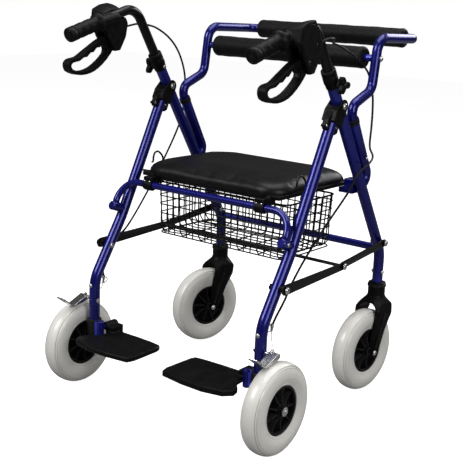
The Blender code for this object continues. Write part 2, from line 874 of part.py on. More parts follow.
def make_rear_link(side, sign):
    name = f"rear_link_{side}"
    outline = stadium(BRACE_REAR, BRACE_MIDDLE, 0.009, 0.008)
    body = slab(name, outline, LINK_THICKNESS, sign * REAR_LINK_X, "black_paint")
    inner = REAR_LINK_X - LINK_THICKNESS / 2
    outer = REAR_LINK_X + LINK_THICKNESS / 2
    return join(
        body,
        across(f"{name}_pin", sign * INNER_FACE, sign * (inner + 0.001), BRACE_REAR, ROD_R, sides=12),
        across(f"{name}_spacer", sign * OUTER_FACE, sign * (inner + 0.001), BRACE_REAR, 0.007, sides=12),
        across(f"{name}_head", sign * (outer - 0.001), sign * (outer + 0.004), BRACE_REAR, 0.007, sides=12),
    )


def make_front_link(side, sign):
    """Its far end only laps the rear link: the middle pivot is the linkage's open one."""
    name = f"front_link_{side}"
    outline = stadium(BRACE_FRONT, BRACE_MIDDLE, 0.0115, 0.0085)
    body = slab(name, outline, LINK_THICKNESS, sign * FRONT_LINK_X, "black_paint")
    inner = FRONT_LINK_X - LINK_THICKNESS / 2
    outer = FRONT_LINK_X + LINK_THICKNESS / 2
    return join(
        body,
        across(f"{name}_pin", sign * INNER_FACE, sign * (inner + 0.001), BRACE_FRONT, ROD_R, sides=12),
        across(f"{name}_spacer", sign * OUTER_FACE, sign * (inner + 0.001), BRACE_FRONT, 0.007, sides=12),
        across(f"{name}_head", sign * (outer - 0.001), sign * (outer + 0.004), BRACE_FRONT, 0.007, sides=12),
        across(f"{name}_stud", sign * (outer - 0.001), sign * (outer + 0.004), BRACE_MIDDLE, 0.007, sides=12),
    )


def make_cross_rod():
    end = REAR_LINK_X - LINK_THICKNESS / 2 - GAP
    return across("brace_cross_rod", -end, end, BRACE_MIDDLE, ROD_R, "black_paint", sides=12)


# ---------------------------------------------------------------- wheels


def make_tyre(name, centre):
    half, shoulder = TYRE_WIDTH / 2, TYRE_WIDTH / 2 - 0.0055
    side = [
        (TYRE_BORE_R, shoulder),
        (0.0640, half - 0.0010),
        (0.0790, half),
        (0.0910, half - 0.0045),
        (0.0980, half - 0.0120),
    ]
    profile = side + [(WHEEL_R, 0)] + [(r, -h) for r, h in side[::-1]]
    return turned(name, profile, "grey_tyre", WHEEL_STEPS, centre, (1, 0, 0), closed=True)


def make_hub(name, centre):
    rim, boss, web = TYRE_BORE_R - GAP, 0.0140, 0.006
    rim_half, boss_half = 0.0165, 0.0245
    side = [
        (AXLE_R + GAP, boss_half),
        (boss, boss_half),
        (boss, web),
        (rim - 0.009, web),
        (rim - 0.006, rim_half),
        (rim, rim_half),
    ]
    profile = side + [(r, -h) for r, h in side[::-1]]
    return turned(name, profile, "black_plastic", WHEEL_STEPS, centre, (1, 0, 0), closed=True)


def make_front_axle(side, sign):
    """Head outside the hub, shank through hub and leg, nut inside the leg."""
    head_start, head_end = 0.3140, 0.3185
    nut_start, nut_end = 0.2300, 0.2245
    x = FRONT_WHEEL.x
    profile = [
        (0, head_end - x),
        (0.0060, head_end - x),
        (0.0085, head_start + 0.002 - x),
        (0.0085, head_start - x),
        (AXLE_R, head_start - x),
        (AXLE_R, nut_start - x),
        (0.0080, nut_start - x),
        (0.0080, nut_end - x),
        (0, nut_end - x),
    ]
    centre = (sign * x, FRONT_WHEEL.y, FRONT_WHEEL.z)
    return turned(f"front_axle_{side}", profile, "zinc", 12, centre, (sign, 0, 0))


def make_castor_fork(side, x):
    """The front outline and the side outline, each made thick, meet in the fork's shape."""
    name = f"castor_fork_{side}"
    inner, outer, cap_r = 0.0285, 0.0375, 0.0215
    cap_top = UPRIGHT_FOOT_Z - GAP
    arch = arc((0, 0.186), inner, 0, 180, 9)
    arch = [(px, pz if pz < 0.2125 else 0.2125) for px, pz in arch]
    front = [
        (x - outer, 0.075),
        (x - outer, 0.190),
        (x - outer + 0.006, 0.212),
        (x - cap_r, 0.228),
        (x - cap_r, cap_top),
        (x + cap_r, cap_top),
        (x + cap_r, 0.228),
        (x + outer - 0.006, 0.212),
        (x + outer, 0.190),
        (x + outer, 0.075),
        (x + inner, 0.075),
        *[(x + px, pz) for px, pz in arch],
        (x - inner, 0.075),
    ]
    axle = Vector((CASTOR_STEM_Y - CASTOR_TRAIL, WHEEL_R))
    stem = CASTOR_STEM_Y
    outline = [
        *arc(axle, 0.019, 175, 350, 8),
        (stem - 0.005, 0.150),
        (stem + 0.0175, 0.186),
        (stem + 0.0245, 0.206),
        (stem + cap_r - 0.001, 0.232),
        (stem + cap_r, cap_top + 0.01),
        (stem - cap_r, cap_top + 0.01),
        (stem - cap_r - 0.001, 0.232),
        (stem - 0.031, 0.212),
        (stem - 0.040, 0.190),
        (stem - 0.050, 0.160),
    ]
    body = slab(name, front, 0.2, CASTOR_STEM_Y, "black_plastic", plane="front")
    side_shape = slab(f"{name}_side", outline, 0.12, x, None)
    combine(body, "INTERSECT", side_shape)
    top = Vector((x, stem, UPRIGHT_FOOT_Z + 0.030))
    return join(
        body,
        cylinder(f"{name}_stem", (x, stem, 0.25), top, 0.0058, sides=12),
        across(f"{name}_axle", x - outer - 0.002, x + outer + 0.002, axle, AXLE_R, sides=12),
    )


# ---------------------------------------------------------------- footplates


def make_footrest_bracket(side, sign, x):
    """A clamp round the foot of the front leg, a barrel beside it and the hinge pin."""
    name = f"footrest_bracket_{side}"
    y, low, high = LEG_KNEE[0], 0.128, 0.166
    body = cylinder(name, (x, y, low), (x, y, high), 0.0170, "blue_paint", sides=20)
    barrel_x = sign * (PLATE_HINGE[0] + 0.004)
    barrel_y = y - 0.0065
    barrel = cylinder(f"{name}_barrel", (barrel_x, barrel_y, low), (barrel_x, barrel_y, high), 0.0085)
    web_x = sorted((barrel_x, sign * (SIDE_X - 0.012)))
    web = block(f"{name}_web", (web_x[0], y - 0.012, low + 0.003), (web_x[1], y - 0.002, high - 0.003))
    pin_x, pin_z = sign * PLATE_HINGE[0], PLATE_HINGE[1]
    pin = cylinder(f"{name}_pin", (pin_x, -0.256, pin_z), (pin_x, -0.2080, pin_z), ROD_R, sides=12)
    bore = cylinder(f"{name}_bore", (x, y, 0.1), (x, y, 0.2), SADDLE_R)
    return cut(join(body, barrel, web, pin), bore)


def make_footplate(side, sign):
    """The plate, and the knuckle that turns on the bracket's pin."""
    name = f"footplate_{side}"
    outline = [
        (0.186, -0.222),
        (0.126, -0.222),
        (0.080, -0.224),
        (0.052, -0.228),
        (0.048, -0.240),
        (0.046, -0.318),
        (0.052, -0.338),
        (0.110, -0.346),
        (0.166, -0.347),
        (0.214, -0.336),
        (0.230, -0.318),
        (0.226, -0.300),
        (0.201, -0.272),
        (0.198, -0.238),
    ]
    low, high = PLATE_Z
    outline = [(sign * px, py) for px, py in outline]
    body = slab(name, outline, high - low, (low + high) / 2, "black_plastic", plane="floor")
    soften = body.modifiers.new("Bevel", "BEVEL")
    soften.width = 0.003
    soften.segments = 1
    pin_x, pin_z = PLATE_HINGE
    rear, front = -0.2100, -0.2465
    knuckle = cylinder(
        f"{name}_knuckle", (sign * pin_x, front, pin_z), (sign * pin_x, rear, pin_z), 0.0092
    )
    web_x = sorted((sign * 0.186, sign * (pin_x - 0.003)))
    web = block(f"{name}_web", (web_x[0], front, low + 0.004), (web_x[1], rear, pin_z + 0.002))
    bore = cylinder(
        f"{name}_bore", (sign * pin_x, front - 0.01, pin_z), (sign * pin_x, rear + 0.01, pin_z), PIN_BORE_R
    )
    return cut(join(body, knuckle, web), bore)


# ---------------------------------------------------------------- assembly


def build_side(side, sign):
    """Everything on one side. Returns the pieces that fold with the front legs."""
    x = sign * SIDE_X
    make_upright(side, x)
    make_socket(side, x)
    make_collar(side, sign, x)
    make_fold_bolt(side, x)
    make_seat_rest(side, sign)
    make_cable(side, sign)
    knob_point = at(sign * 0.2715, up_the_upright(-KNOB_DROP))
    axis_empty(f"knob_axis_{side}", knob_point, [make_knob(side, sign)])

    wheel_centre = (sign * FRONT_WHEEL.x, FRONT_WHEEL.y, FRONT_WHEEL.z)
    wheel = [make_tyre(f"front_tyre_{side}", wheel_centre), make_hub(f"front_hub_{side}", wheel_centre)]
    axis_empty(f"front_wheel_axis_{side}", wheel_centre, wheel)
    axis_empty(f"brake_axis_{side}", at(x, BRAKE_AXIS), [make_brake_arm(side, sign)])
    plate_axis = (sign * PLATE_HINGE[0], -0.228, PLATE_HINGE[1])
    axis_empty(f"footplate_axis_{side}", plate_axis, [make_footplate(side, sign)])

    legs = [make_front_leg(side, x), make_leg_head(side, x), make_front_axle(side, sign)]
    legs.append(make_footrest_bracket(side, sign, x))
    return legs


def made_since(before):
    return [obj for obj in bpy.data.objects if obj not in before]


def build_handle(side, sign):
    """Built at the same height on both sides, then slid along the upright to its own setting."""
    x = sign * SIDE_X
    before = set(bpy.data.objects)
    make_lever(side, sign)
    axis_empty(f"lever_axis_{side}", at(sign * LEVER_X, LEVER_AXIS), made_since(before))
    make_handle_tube(side, x)
    make_grip(side, x)
    make_brake_housing(side, sign, x)
    made = [obj for obj in made_since(before) if obj.parent is None]
    slide = axis_empty(f"handle_slide_{side}", at(x, UPRIGHT_TOP), made)
    slide.location += at(0, upright_direction() * HANDLE_LIFT[side])


def build_castor(side, sign):
    """Built facing straight back, then turned about its stem."""
    x = sign * SIDE_X
    before = set(bpy.data.objects)
    centre = (x, CASTOR_STEM_Y - CASTOR_TRAIL, WHEEL_R)
    make_castor_fork(side, x)
    make_tyre(f"castor_tyre_{side}", centre)
    make_hub(f"castor_hub_{side}", centre)
    stem = axis_empty(f"castor_axis_{side}", (x, CASTOR_STEM_Y, 0), made_since(before))
    stem.rotation_euler.z = CASTOR_YAW[side]


def build_rollator():
    front_frame = [make_seat_hoop()]
    for side, sign in SIDES.items():
        front_frame += build_side(side, sign)
        build_handle(side, sign)
        build_castor(side, sign)
    axis_empty("fold_axis", at(0, FOLD_AXIS), front_frame)
    make_crossbar()

    rear_brace = [make_rear_link(side, sign) for side, sign in SIDES.items()]
    axis_empty("rear_brace_axis", at(0, BRACE_REAR), rear_brace + [make_cross_rod()])
    front_brace = [make_front_link(side, sign) for side, sign in SIDES.items()]
    axis_empty("front_brace_axis", at(0, BRACE_FRONT), front_brace)

    axis_empty("seat_axis", at(0, SEAT_HINGE), [make_seat_base(), make_seat_pad()])
    axis_empty("basket_slide", (0, 0, BASKET_TOP_Z), [make_basket()])
    backrest = [
        make_backrest_hoop(),
        make_back_rail(),
        make_roll("back_roll", BACK_ROLL, 0.025, HOOP_R + GAP),
        make_roll("push_bar_roll", PUSH_BAR, 0.023, BORE_R + GAP),
    ]
    axis_empty("backrest_slide", at(0, SOCKET_TOP), backrest)
    for obj in PARTS.objects:
        smooth_shade(obj)
    loose = [obj for obj in bpy.data.objects if obj.parent is None]
    whole = axis_empty("rollator", (0, 0, 0), loose)
    whole.location.y = CENTRE_SHIFT


clear_scene()
PARTS = new_collection("Rollator")
CUTTERS = new_collection("Cutters")
build_rollator()
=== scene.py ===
"""Looks for the folding rollator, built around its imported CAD.

Metres, +Z up, in the frame's own coordinates. The walking user stands at -Y, left is at -X.
Outlines of the side frames are (y, z) points in planes of constant X, as in the CAD.
"""

from math import ceil, copysign, cos, degrees, radians, sin, tan, tau

import bmesh
import bpy
from mathutils import Matrix, Vector


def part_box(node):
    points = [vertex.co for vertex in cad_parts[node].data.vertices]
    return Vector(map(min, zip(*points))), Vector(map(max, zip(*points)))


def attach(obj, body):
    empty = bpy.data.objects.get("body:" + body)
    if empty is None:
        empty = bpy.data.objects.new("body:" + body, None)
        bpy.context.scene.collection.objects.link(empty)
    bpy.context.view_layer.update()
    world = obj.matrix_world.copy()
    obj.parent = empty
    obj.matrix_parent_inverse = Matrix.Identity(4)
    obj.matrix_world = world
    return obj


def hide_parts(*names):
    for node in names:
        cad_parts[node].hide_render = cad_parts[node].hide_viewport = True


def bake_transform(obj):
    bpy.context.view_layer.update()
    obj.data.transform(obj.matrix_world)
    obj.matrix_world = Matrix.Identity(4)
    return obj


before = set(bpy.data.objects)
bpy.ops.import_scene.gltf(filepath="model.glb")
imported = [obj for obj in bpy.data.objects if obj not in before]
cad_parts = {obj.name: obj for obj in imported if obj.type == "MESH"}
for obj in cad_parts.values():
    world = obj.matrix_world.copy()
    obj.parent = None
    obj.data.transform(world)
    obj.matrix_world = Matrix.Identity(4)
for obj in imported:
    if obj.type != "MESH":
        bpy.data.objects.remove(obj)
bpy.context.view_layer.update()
SIDES = {"left": -1, "right": 1}

# Lines of the side frames, as the CAD has them
SHIFT = 0.00375
SIDE_X = 0.243
TUBE_R = 0.0127
BORE_R = 0.0113
INNER_R = 0.011
UPRIGHT_TOP = Vector((-0.0558, 0.775))
UPRIGHT_KNEE = Vector((0.2235, 0.3386))
UPRIGHT_DIR = (UPRIGHT_TOP - UPRIGHT_KNEE).normalized()
STEM_Y = 0.2235
FOLD_AXIS = Vector((-0.009, 0.702))
LEG_BENDS = [
    ((-0.03, 0.672), 0),
    ((-0.162, 0.402), 0.3),
    ((-0.2495, 0.262), 0.08),
    ((-0.2495, 0.085), 0),
]
SOCKET_TOP = Vector((0.0555, 0.668))
SOCKET_BEND = Vector((0.134, 0.533))
SOCKET_DIR = (SOCKET_BEND - SOCKET_TOP).normalized()
SEAT_HINGE = Vector((-0.157, 0.488))
BACK_ROLL = Vector((0.142, 0.797))
PUSH_BAR = Vector((0.323, 0.838))
HANDLE_CORNER = Vector((-0.1228, 0.8797))
GRIP_END = Vector((-0.327, 0.8164))
GRIP_DIR = (GRIP_END - HANDLE_CORNER).normalized()
GRIP_LENGTH = 0.095
HANDLE_LIFT = {"left": 0.009, "right": -0.004}
BRACE_FRONT, BRACE_MIDDLE, BRACE_REAR = (-0.207, 0.339), (0.016, 0.346), (0.205, 0.365)
FRONT_WHEEL = (0.289, -0.2535, 0.1)
CASTOR_YAW = {"left": radians(-15), "right": radians(-5)}
CASTOR_TRAIL = 0.046
BOARD_THICKNESS = 0.0092
SHARP_ANGLE = radians(38)
WHEEL_SPOKES = 9
HOUSING_X, LINK_X, REAR_LINK_X = 0.2818, 0.273, 0.269
FLOOR_REACH = 9.0
PUFF_FRAMES, PUFF_PRESSURE, PUFF_LIMIT = 20, 4.0, 0.005
FOCAL_LENGTH = 75.6389
WHITE = (1, 1, 1, 1)


def at(x, point, lift=0.0):
    """A (y, z) point of a side outline in the frame, slid up the upright by lift."""
    spot = Vector((point[0], point[1])) + UPRIGHT_DIR * lift
    return Vector((x, spot[0] + SHIFT, spot[1]))


# Materials


class Look:
    """A Principled material under construction, with its textures in metres."""

    def __init__(self, name, **settings):
        self.material = bpy.data.materials.new(name)
        self.material.use_nodes = True
        self.tree = self.material.node_tree
        self.shader = self.tree.nodes["Principled BSDF"]
        self.place = self.add("ShaderNodeTexCoord").outputs["Object"]
        self.normal = None
        for key, value in settings.items():
            self.set(key.replace("_", " "), value)

    def add(self, kind):
        return self.tree.nodes.new(kind)

    def link(self, start, end):
        self.tree.links.new(start, end)

    def set(self, name, value):
        self.shader.inputs[name].default_value = value

    def noise(self, scale, detail=3.0, stretch=(1, 1, 1), distortion=0.0):
        mapping = self.add("ShaderNodeMapping")
        mapping.inputs["Scale"].default_value = stretch
        self.link(self.place, mapping.inputs["Vector"])
        node = self.add("ShaderNodeTexNoise")
        node.inputs["Scale"].default_value = scale
        node.inputs["Detail"].default_value = detail
        node.inputs["Distortion"].default_value = distortion
        self.link(mapping.outputs["Vector"], node.inputs["Vector"])
        return node.outputs["Fac"]

    def cells(self, scale, output="Distance", feature="F1"):
        node = self.add("ShaderNodeTexVoronoi")
        node.feature = feature
        node.inputs["Scale"].default_value = scale
        self.link(self.place, node.inputs["Vector"])
        return node.outputs[output]

    def ramp(self, source, *stops):
        """A colour or grey ramp; stops are (position, value)."""
        node = self.add("ShaderNodeValToRGB")
        elements = node.color_ramp.elements
        while len(elements) < len(stops):
            elements.new(0.5)
        for element, (position, value) in zip(elements, stops):
            element.position = position
            element.color = (*value, 1) if isinstance(value, tuple) else (value, value, value, 1)
        self.link(source, node.inputs["Fac"])
        return node.outputs["Color"]

    def drive(self, source, name="Base Color"):
        self.link(source, self.shader.inputs[name])

    def patchy(self, low, high, scale, detail=3):
        """A noise that runs from one tone to another."""
        return self.ramp(self.noise(scale, detail), (0.3, low), (0.75, high))

    def rough(self, low, high, scale, detail=3, end=0.7):
        """Roughness that wanders between two values."""
        source = self.ramp(self.noise(scale, detail), (0.3, low), (end, high))
        self.drive(source, "Roughness")

    def mix(self, first, second, amount, blend="MIX"):
        node = self.add("ShaderNodeMix")
        node.data_type = "RGBA"
        node.blend_type = blend
        node.inputs["Factor"].default_value = amount
        self.link(first, node.inputs[6])
        self.link(second, node.inputs[7])
        return node.outputs[2]

    def bump(self, source, strength, distance):
        node = self.add("ShaderNodeBump")
        node.inputs["Strength"].default_value = strength
        node.inputs["Distance"].default_value = distance
        self.link(source, node.inputs["Height"])
        if self.normal is not None:
            self.link(self.normal, node.inputs["Normal"])
        self.normal = node.outputs["Normal"]
        self.drive(self.normal, "Normal")

    def pointiness(self, *stops):
        """A ramp over how sharp the surface is: under 0.5 in grooves, over it on edges."""
        return self.ramp(self.add("ShaderNodeNewGeometry").outputs["Pointiness"], *stops)

    def highlit_edges(self, base, bright, low=0.53, high=0.6):
        """base with a painted highlight in the bright colour along convex edges."""
        node = self.add("ShaderNodeMix")
        node.data_type = "RGBA"
        self.link(self.pointiness((low, 0.0), (high, 1.0)), node.inputs["Factor"])
        self.link(base, node.inputs[6])
        node.inputs[7].default_value = (*bright, 1)
        return node.outputs[2]


def make_blue_paint():
    """Metal-flake enamel under a clear coat."""
    look = Look("blue_paint", Metallic=0.5, Specular_IOR_Level=0.3, Coat_Weight=0.5, Coat_Roughness=0.05)
    flakes = look.cells(2600, "Color")
    dark, mid, bright = (0.001, 0.001, 0.05), (0.003, 0.003, 0.17), (0.03, 0.045, 0.58)
    flake_colour = look.ramp(flakes, (0.0, dark), (0.6, mid), (1.0, bright))
    depth = look.ramp(look.noise(28, 2), (0.35, (0.0015, 0.0015, 0.085)), (0.7, (0.003, 0.003, 0.17)))
    # A painted highlight of lighter blue along the convex edges.
    look.drive(look.highlit_edges(look.mix(flake_colour, depth, 0.5), (0.05, 0.07, 0.62), 0.56, 0.68))
    look.drive(look.ramp(flakes, (0.0, 0.2), (1.0, 0.4)), "Roughness")
    look.bump(look.noise(420, 1), 0.1, 0.0004)
    look.bump(flakes, 0.06, 0.0002)
    return look.material


def make_tyre_rubber():
    """Pale grey rubber, a little dusty, with painted shade darkening its grooves."""
    look = Look("grey_tyre", Coat_Weight=0.45, Coat_Roughness=0.14, Specular_IOR_Level=0.45)
    base = look.patchy((0.8, 0.78, 0.735), (0.86, 0.845, 0.8), 14, 5)
    dust = look.ramp(look.noise(160, 5), (0.38, (0.8, 0.78, 0.74)), (0.6, (1.0, 1.0, 1.0)))
    # Painted shade: the concave grooves turn dark grey.
    grooves = look.pointiness((0.4, (0.22, 0.21, 0.2)), (0.475, (1.0, 1.0, 1.0)))
    look.drive(look.mix(look.mix(base, dust, 0.1, "MULTIPLY"), grooves, 1.0, "MULTIPLY"))
    look.rough(0.28, 0.45, 55, 4, end=0.72)
    look.bump(look.noise(900, 2), 0.1, 0.0003)
    return look.material


def make_zinc():
    """Brushed zinc plate."""
    look = Look("zinc", Metallic=1.0)
    tones = [tuple(level * c for c in (1.0, 1.0, 0.98)) for level in (0.6, 0.7)]
    base = look.ramp(look.noise(70, 5, distortion=0.6), (0.3, tones[0]), (0.7, tones[1]))
    # A painted highlight of lighter grey along the convex edges.
    look.drive(look.highlit_edges(base, (0.75, 0.75, 0.75)))
    look.drive(look.ramp(look.noise(240, 4, (1, 6, 1)), (0.3, 0.2), (0.75, 0.3)), "Roughness")
    look.bump(look.noise(500, 3, (1, 5, 1)), 0.04, 0.0001)
    return look.material


def plain_look(name, tones, rough, bumps, bright=None, **settings):
    """A material of patchy tone and wandering roughness, maybe with a painted highlight along its edges."""
    look = Look(name, **settings)
    tone = look.patchy(*tones)
    look.drive(look.highlit_edges(tone, bright) if bright else tone)
    look.rough(*rough)
    for texture, how, strength, distance in bumps:
        look.bump(getattr(look, texture)(*how), strength, distance)
    return look.material


ALL_LOOKS = [
    make_blue_paint(),
    make_tyre_rubber(),
    make_zinc(),
    plain_look(
        "black_paint",
        (0.0015, 0.0045, 60, 4),
        (0.24, 0.4, 180),
        [("noise", (700, 2), 0.14, 0.0003)],
        # A painted highlight of grey along the convex edges.
        (0.02, 0.02, 0.021),
        Specular_IOR_Level=0.14, Coat_Weight=0.22, Coat_Roughness=0.1,
    ),
    # Fine-grained moulding, with a painted highlight of grey along its edges
    plain_look(
        "black_plastic",
        (0.002, 0.0055, 45, 4),
        (0.34, 0.52, 90, 4, 0.72),
        [("noise", (1500, 2), 0.3, 0.00025), ("cells", (900,), 0.12, 0.0002)],
        (0.022, 0.022, 0.023),
        Specular_IOR_Level=0.12,
    ),
    # Open-pored foam
    plain_look(
        "black_foam",
        ((0.003, 0.003, 0.003), (0.009, 0.008, 0.008), 90, 5),
        (0.4, 0.58, 300),
        [("cells", (1100,), 0.35, 0.0004), ("noise", (70, 3), 0.25, 0.0012)],
        Specular_IOR_Level=0.12, Sheen_Weight=0.02, Sheen_Roughness=0.4,
    ),
    # Leather-grained seat cover
    plain_look(
        "black_vinyl",
        ((0.0022, 0.0021, 0.0021), (0.006, 0.0054, 0.0052), 22, 5),
        (0.34, 0.46, 60, 4),
        [
            ("cells", (520, "Distance", "SMOOTH_F1"), 0.22, 0.0005),
            ("cells", (1400,), 0.15, 0.0002),
            ("noise", (18, 2), 0.1, 0.003),
        ],
        Specular_IOR_Level=0.2, Coat_Weight=0.06, Coat_Roughness=0.3,
    ),
    # Dipped coat on wire
    plain_look(
        "black_wire",
        (0.003, 0.008, 120),
        (0.18, 0.34, 200),
        [("noise", (450, 2), 0.15, 0.0003)],
        Specular_IOR_Level=0.25, Coat_Weight=0.2, Coat_Roughness=0.1,
    ),
]
# The CAD brings materials of these names too, so Blender numbers the new ones.
LOOKS = {material.name.split(".")[0]: material for material in ALL_LOOKS}


# Shapes


def placed(name, data):
    """A new object in the scene."""
    obj = bpy.data.objects.new(name, data)
    bpy.context.scene.collection.objects.link(obj)
    return obj


def new_piece(name, shape, look, body, node=None, sharp=True):
    """A piece from a mesh or bmesh: its look, the body it rides on, the CAD node it replaces."""
    mesh = shape if isinstance(shape, bpy.types.Mesh) else to_mesh(name, shape)
    obj = placed(name, mesh)
    mesh.materials.clear()
    mesh.materials.append(LOOKS[look])
    mesh.shade_smooth()
    if sharp:
        mesh.set_sharp_from_angle(angle=SHARP_ANGLE)
    if body:
        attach(obj, body)
    if node:
        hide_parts(node)
    return obj


def rounded(corners, step=5):
    """A polyline through (point, bend radius) corners, with an arc at each inner corner."""
    points = [corners[0][0]]
    for (before, _), (corner, radius), (after, _) in zip(corners, corners[1:], corners[2:]):
        arriving = (corner - before).normalized()
        leaving = (after - corner).normalized()
        turn = arriving.angle(leaving)
        if turn < 1e-4 or radius == 0:
            points.append(corner)
            continue
        start = corner - arriving * radius * tan(turn / 2)
        inward = (leaving - arriving * arriving.dot(leaving)).normalized()
        count = max(2, ceil(degrees(turn) / step) + 1)
        for i in range(count):
            angle = turn * i / (count - 1)
            points.append(start + (arriving * sin(angle) + inward * (1 - cos(angle))) * radius)
    points.append(corners[-1][0])
    return points


def spline(points, per_span):
    """A smooth line through the points, by Catmull-Rom spans."""
    points = [Vector(p) for p in points]
    count = len(points)
    result = []
    for i in range(count - 1):
        p1, p2 = points[i], points[i + 1]
        p0 = points[i - 1] if i else p1 * 2 - p2
        p3 = points[i + 2] if i + 2 < count else p2 * 2 - p1
        square, cube = 2 * p0 - 5 * p1 + 4 * p2 - p3, 3 * p1 - p0 - 3 * p2 + p3
        for j in range(per_span):
            t = j / per_span
            result.append(0.5 * (2 * p1 + (p2 - p0) * t + square * t**2 + cube * t**3))
    return result + [points[-1]]


def join(shape, ring, following):
    """Quads between two rings of as many points."""
    for k in range(len(ring)):
        shape.faces.new((ring[k - 1], ring[k], following[k], following[k - 1]))


def prism_into(shape, near, far):
    """Adds the solid between two outlines of as many points."""
    near, far = ([shape.verts.new(spot) for spot in outline] for outline in (near, far))
    shape.faces.new(near)
    shape.faces.new(far)
    join(shape, near, far)


def sweep_into(shape, points, radius, sides=24, bore=0.0, closed=False):
    """Adds a round bar along the points to a bmesh; with a bore it is a hollow tube."""
    points = [Vector(p) for p in points]
    count = len(points)
    tangents = []
    for i in range(count):
        before = points[i - 1] if i or closed else points[i]
        after = points[(i + 1) % count] if i < count - 1 or closed else points[i]
        tangents.append((after - before).normalized())
    seed = Vector((1, 0, 0)) if abs(tangents[0].x) < 0.8 else Vector((0, 0, 1))
    normal = (seed - tangents[0] * seed.dot(tangents[0])).normalized()
    rings = []
    for radius_now in (radius, bore) if bore else (radius,):
        walls = []
        across = normal.copy()
        for point, tangent in zip(points, tangents):
            across = (across - tangent * across.dot(tangent)).normalized()
            other = tangent.cross(across)
            walls.append(
                [
                    shape.verts.new(point + (across * cos(a) + other * sin(a)) * radius_now)
                    for a in (tau * k / sides for k in range(sides))
                ]
            )
        rings.append(walls)
    for walls in rings:
        for ring, following in zip(walls, walls[1:] + walls[: int(closed)]):
            join(shape, ring, following)
    if closed:
        return
    if bore:
        join(shape, rings[0][0], rings[1][0])
        join(shape, rings[0][-1], rings[1][-1])
    else:
        shape.faces.new(rings[0][0])
        shape.faces.new(rings[0][-1])


def to_mesh(name, shape):
    """Ends a bmesh with its faces turned outward."""
    bmesh.ops.recalc_face_normals(shape, faces=shape.faces)
    mesh = bpy.data.meshes.new(name)
    shape.to_mesh(mesh)
    shape.free()
    return mesh


def bar(name, points, radius, look, body, node=None, sides=32, bore=0.0):
    shape = bmesh.new()
    sweep_into(shape, points, radius, sides, bore)
    return new_piece(name, shape, look, body, node)


def wires(name, runs, look, body, node=None, sides=8):
    """One piece from many bars; each run is (points, radius, closed)."""
    shape = bmesh.new()
    for points, radius, closed in runs:
        sweep_into(shape, points, radius, sides, closed=closed)
    new_piece(name, shape, look, body, node)


def lathe_into(shape, profile, centre, direction, steps=48, closed=False):
    """Adds a profile of (radius, height) points turned about direction."""
    turn = Vector((0, 0, 1)).rotation_difference(Vector(direction)).to_matrix()
    centre = Vector(centre)
    rings = []
    for radius, height in profile:
        if radius < 1e-7:
            rings.append([shape.verts.new(centre + turn @ Vector((0, 0, height)))])
            continue
        ring = []
        for k in range(steps):
            a = tau * k / steps
            spot = Vector((radius * cos(a), radius * sin(a), height))
            ring.append(shape.verts.new(centre + turn @ spot))
        rings.append(ring)
    pairs = list(zip(rings, rings[1:]))
    if closed:
        pairs.append((rings[-1], rings[0]))
    for ring, following in pairs:
        for k in range(steps):
            corners = [ring[k % len(ring)], ring[(k + 1) % len(ring)]]
            corners += [following[(k + 1) % len(following)], following[k % len(following)]]
            corners = list(dict.fromkeys(corners))
            if len(corners) > 2:
                shape.faces.new(corners)


def lathe(name, profile, centre, direction, look, body, node=None, steps=48, closed=False):
    shape = bmesh.new()
    lathe_into(shape, profile, centre, direction, steps, closed)
    new_piece(name, shape, look, body, node)


def evaluated_mesh(obj):
    graph = bpy.context.evaluated_depsgraph_get()
    return bpy.data.meshes.new_from_object(obj.evaluated_get(graph))


def remeshed(mesh, voxel, rounds=0):
    """The mesh as an even grid of faces, smoothed for some rounds."""
    work = placed("remesh_work", mesh)
    remesh = work.modifiers.new("Remesh", "REMESH")
    remesh.mode = "VOXEL"
    remesh.voxel_size = voxel
    if rounds:
        smooth = work.modifiers.new("Smooth", "SMOOTH")
        smooth.factor = 0.5
        smooth.iterations = rounds
    bpy.context.view_layer.update()
    result = evaluated_mesh(work)
    bpy.data.objects.remove(work)
    return result


def moulded(node, body, voxel, rounds=6, reshape=None, look="black_plastic"):
    """The CAD node with its edges rounded, as a moulding has them; reshape moves a point."""
    mesh = remeshed(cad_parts[node].data.copy(), voxel, rounds)
    if reshape:
        for vert in mesh.vertices:
            vert.co = reshape(vert.co)
    new_piece(f"{node}_moulding", mesh, look, body, node, sharp=False)


def bolt_into(shape, point, direction, radius, height, kind="dome"):
    """A domed or hexagonal head standing on point, with its washer."""
    direction = Vector(direction).normalized()
    point = Vector(point)
    washer = [(0, 0.0), (radius * 1.25, 0.0), (radius * 1.25, 0.0008), (0, 0.0008)]
    lathe_into(shape, washer, point, direction, 28)
    if kind == "hex":
        head = [(0, 0.0006), (radius, 0.0006), (radius, height * 0.85), (radius * 0.86, height)]
        head.append((0, height))
        lathe_into(shape, head, point, direction, 6)
        stud = [(0, 0.9), (0.5, 0.9), (0.5, 1.35), (0.4, 1.5), (0, 1.5)]
        stud = [(radius * wide, height * tall) for wide, tall in stud]
        lathe_into(shape, stud, point, direction, 20)
        return
    head = [(0, 0.0006), (radius, 0.0006)]
    for i in range(1, 7):
        a = radians(90 * i / 6)
        head.append((radius * cos(a), 0.0006 + (height - 0.0006) * sin(a)))
    head[-1] = (0, height)
    lathe_into(shape, head, point, direction, 28)


def bolts(name, heads, body, look="zinc"):
    """One piece from several fasteners; a head is (point, direction, radius, height) or ends with "hex"."""
    shape = bmesh.new()
    for head in heads:
        bolt_into(shape, *head)
    new_piece(name, shape, look, body)


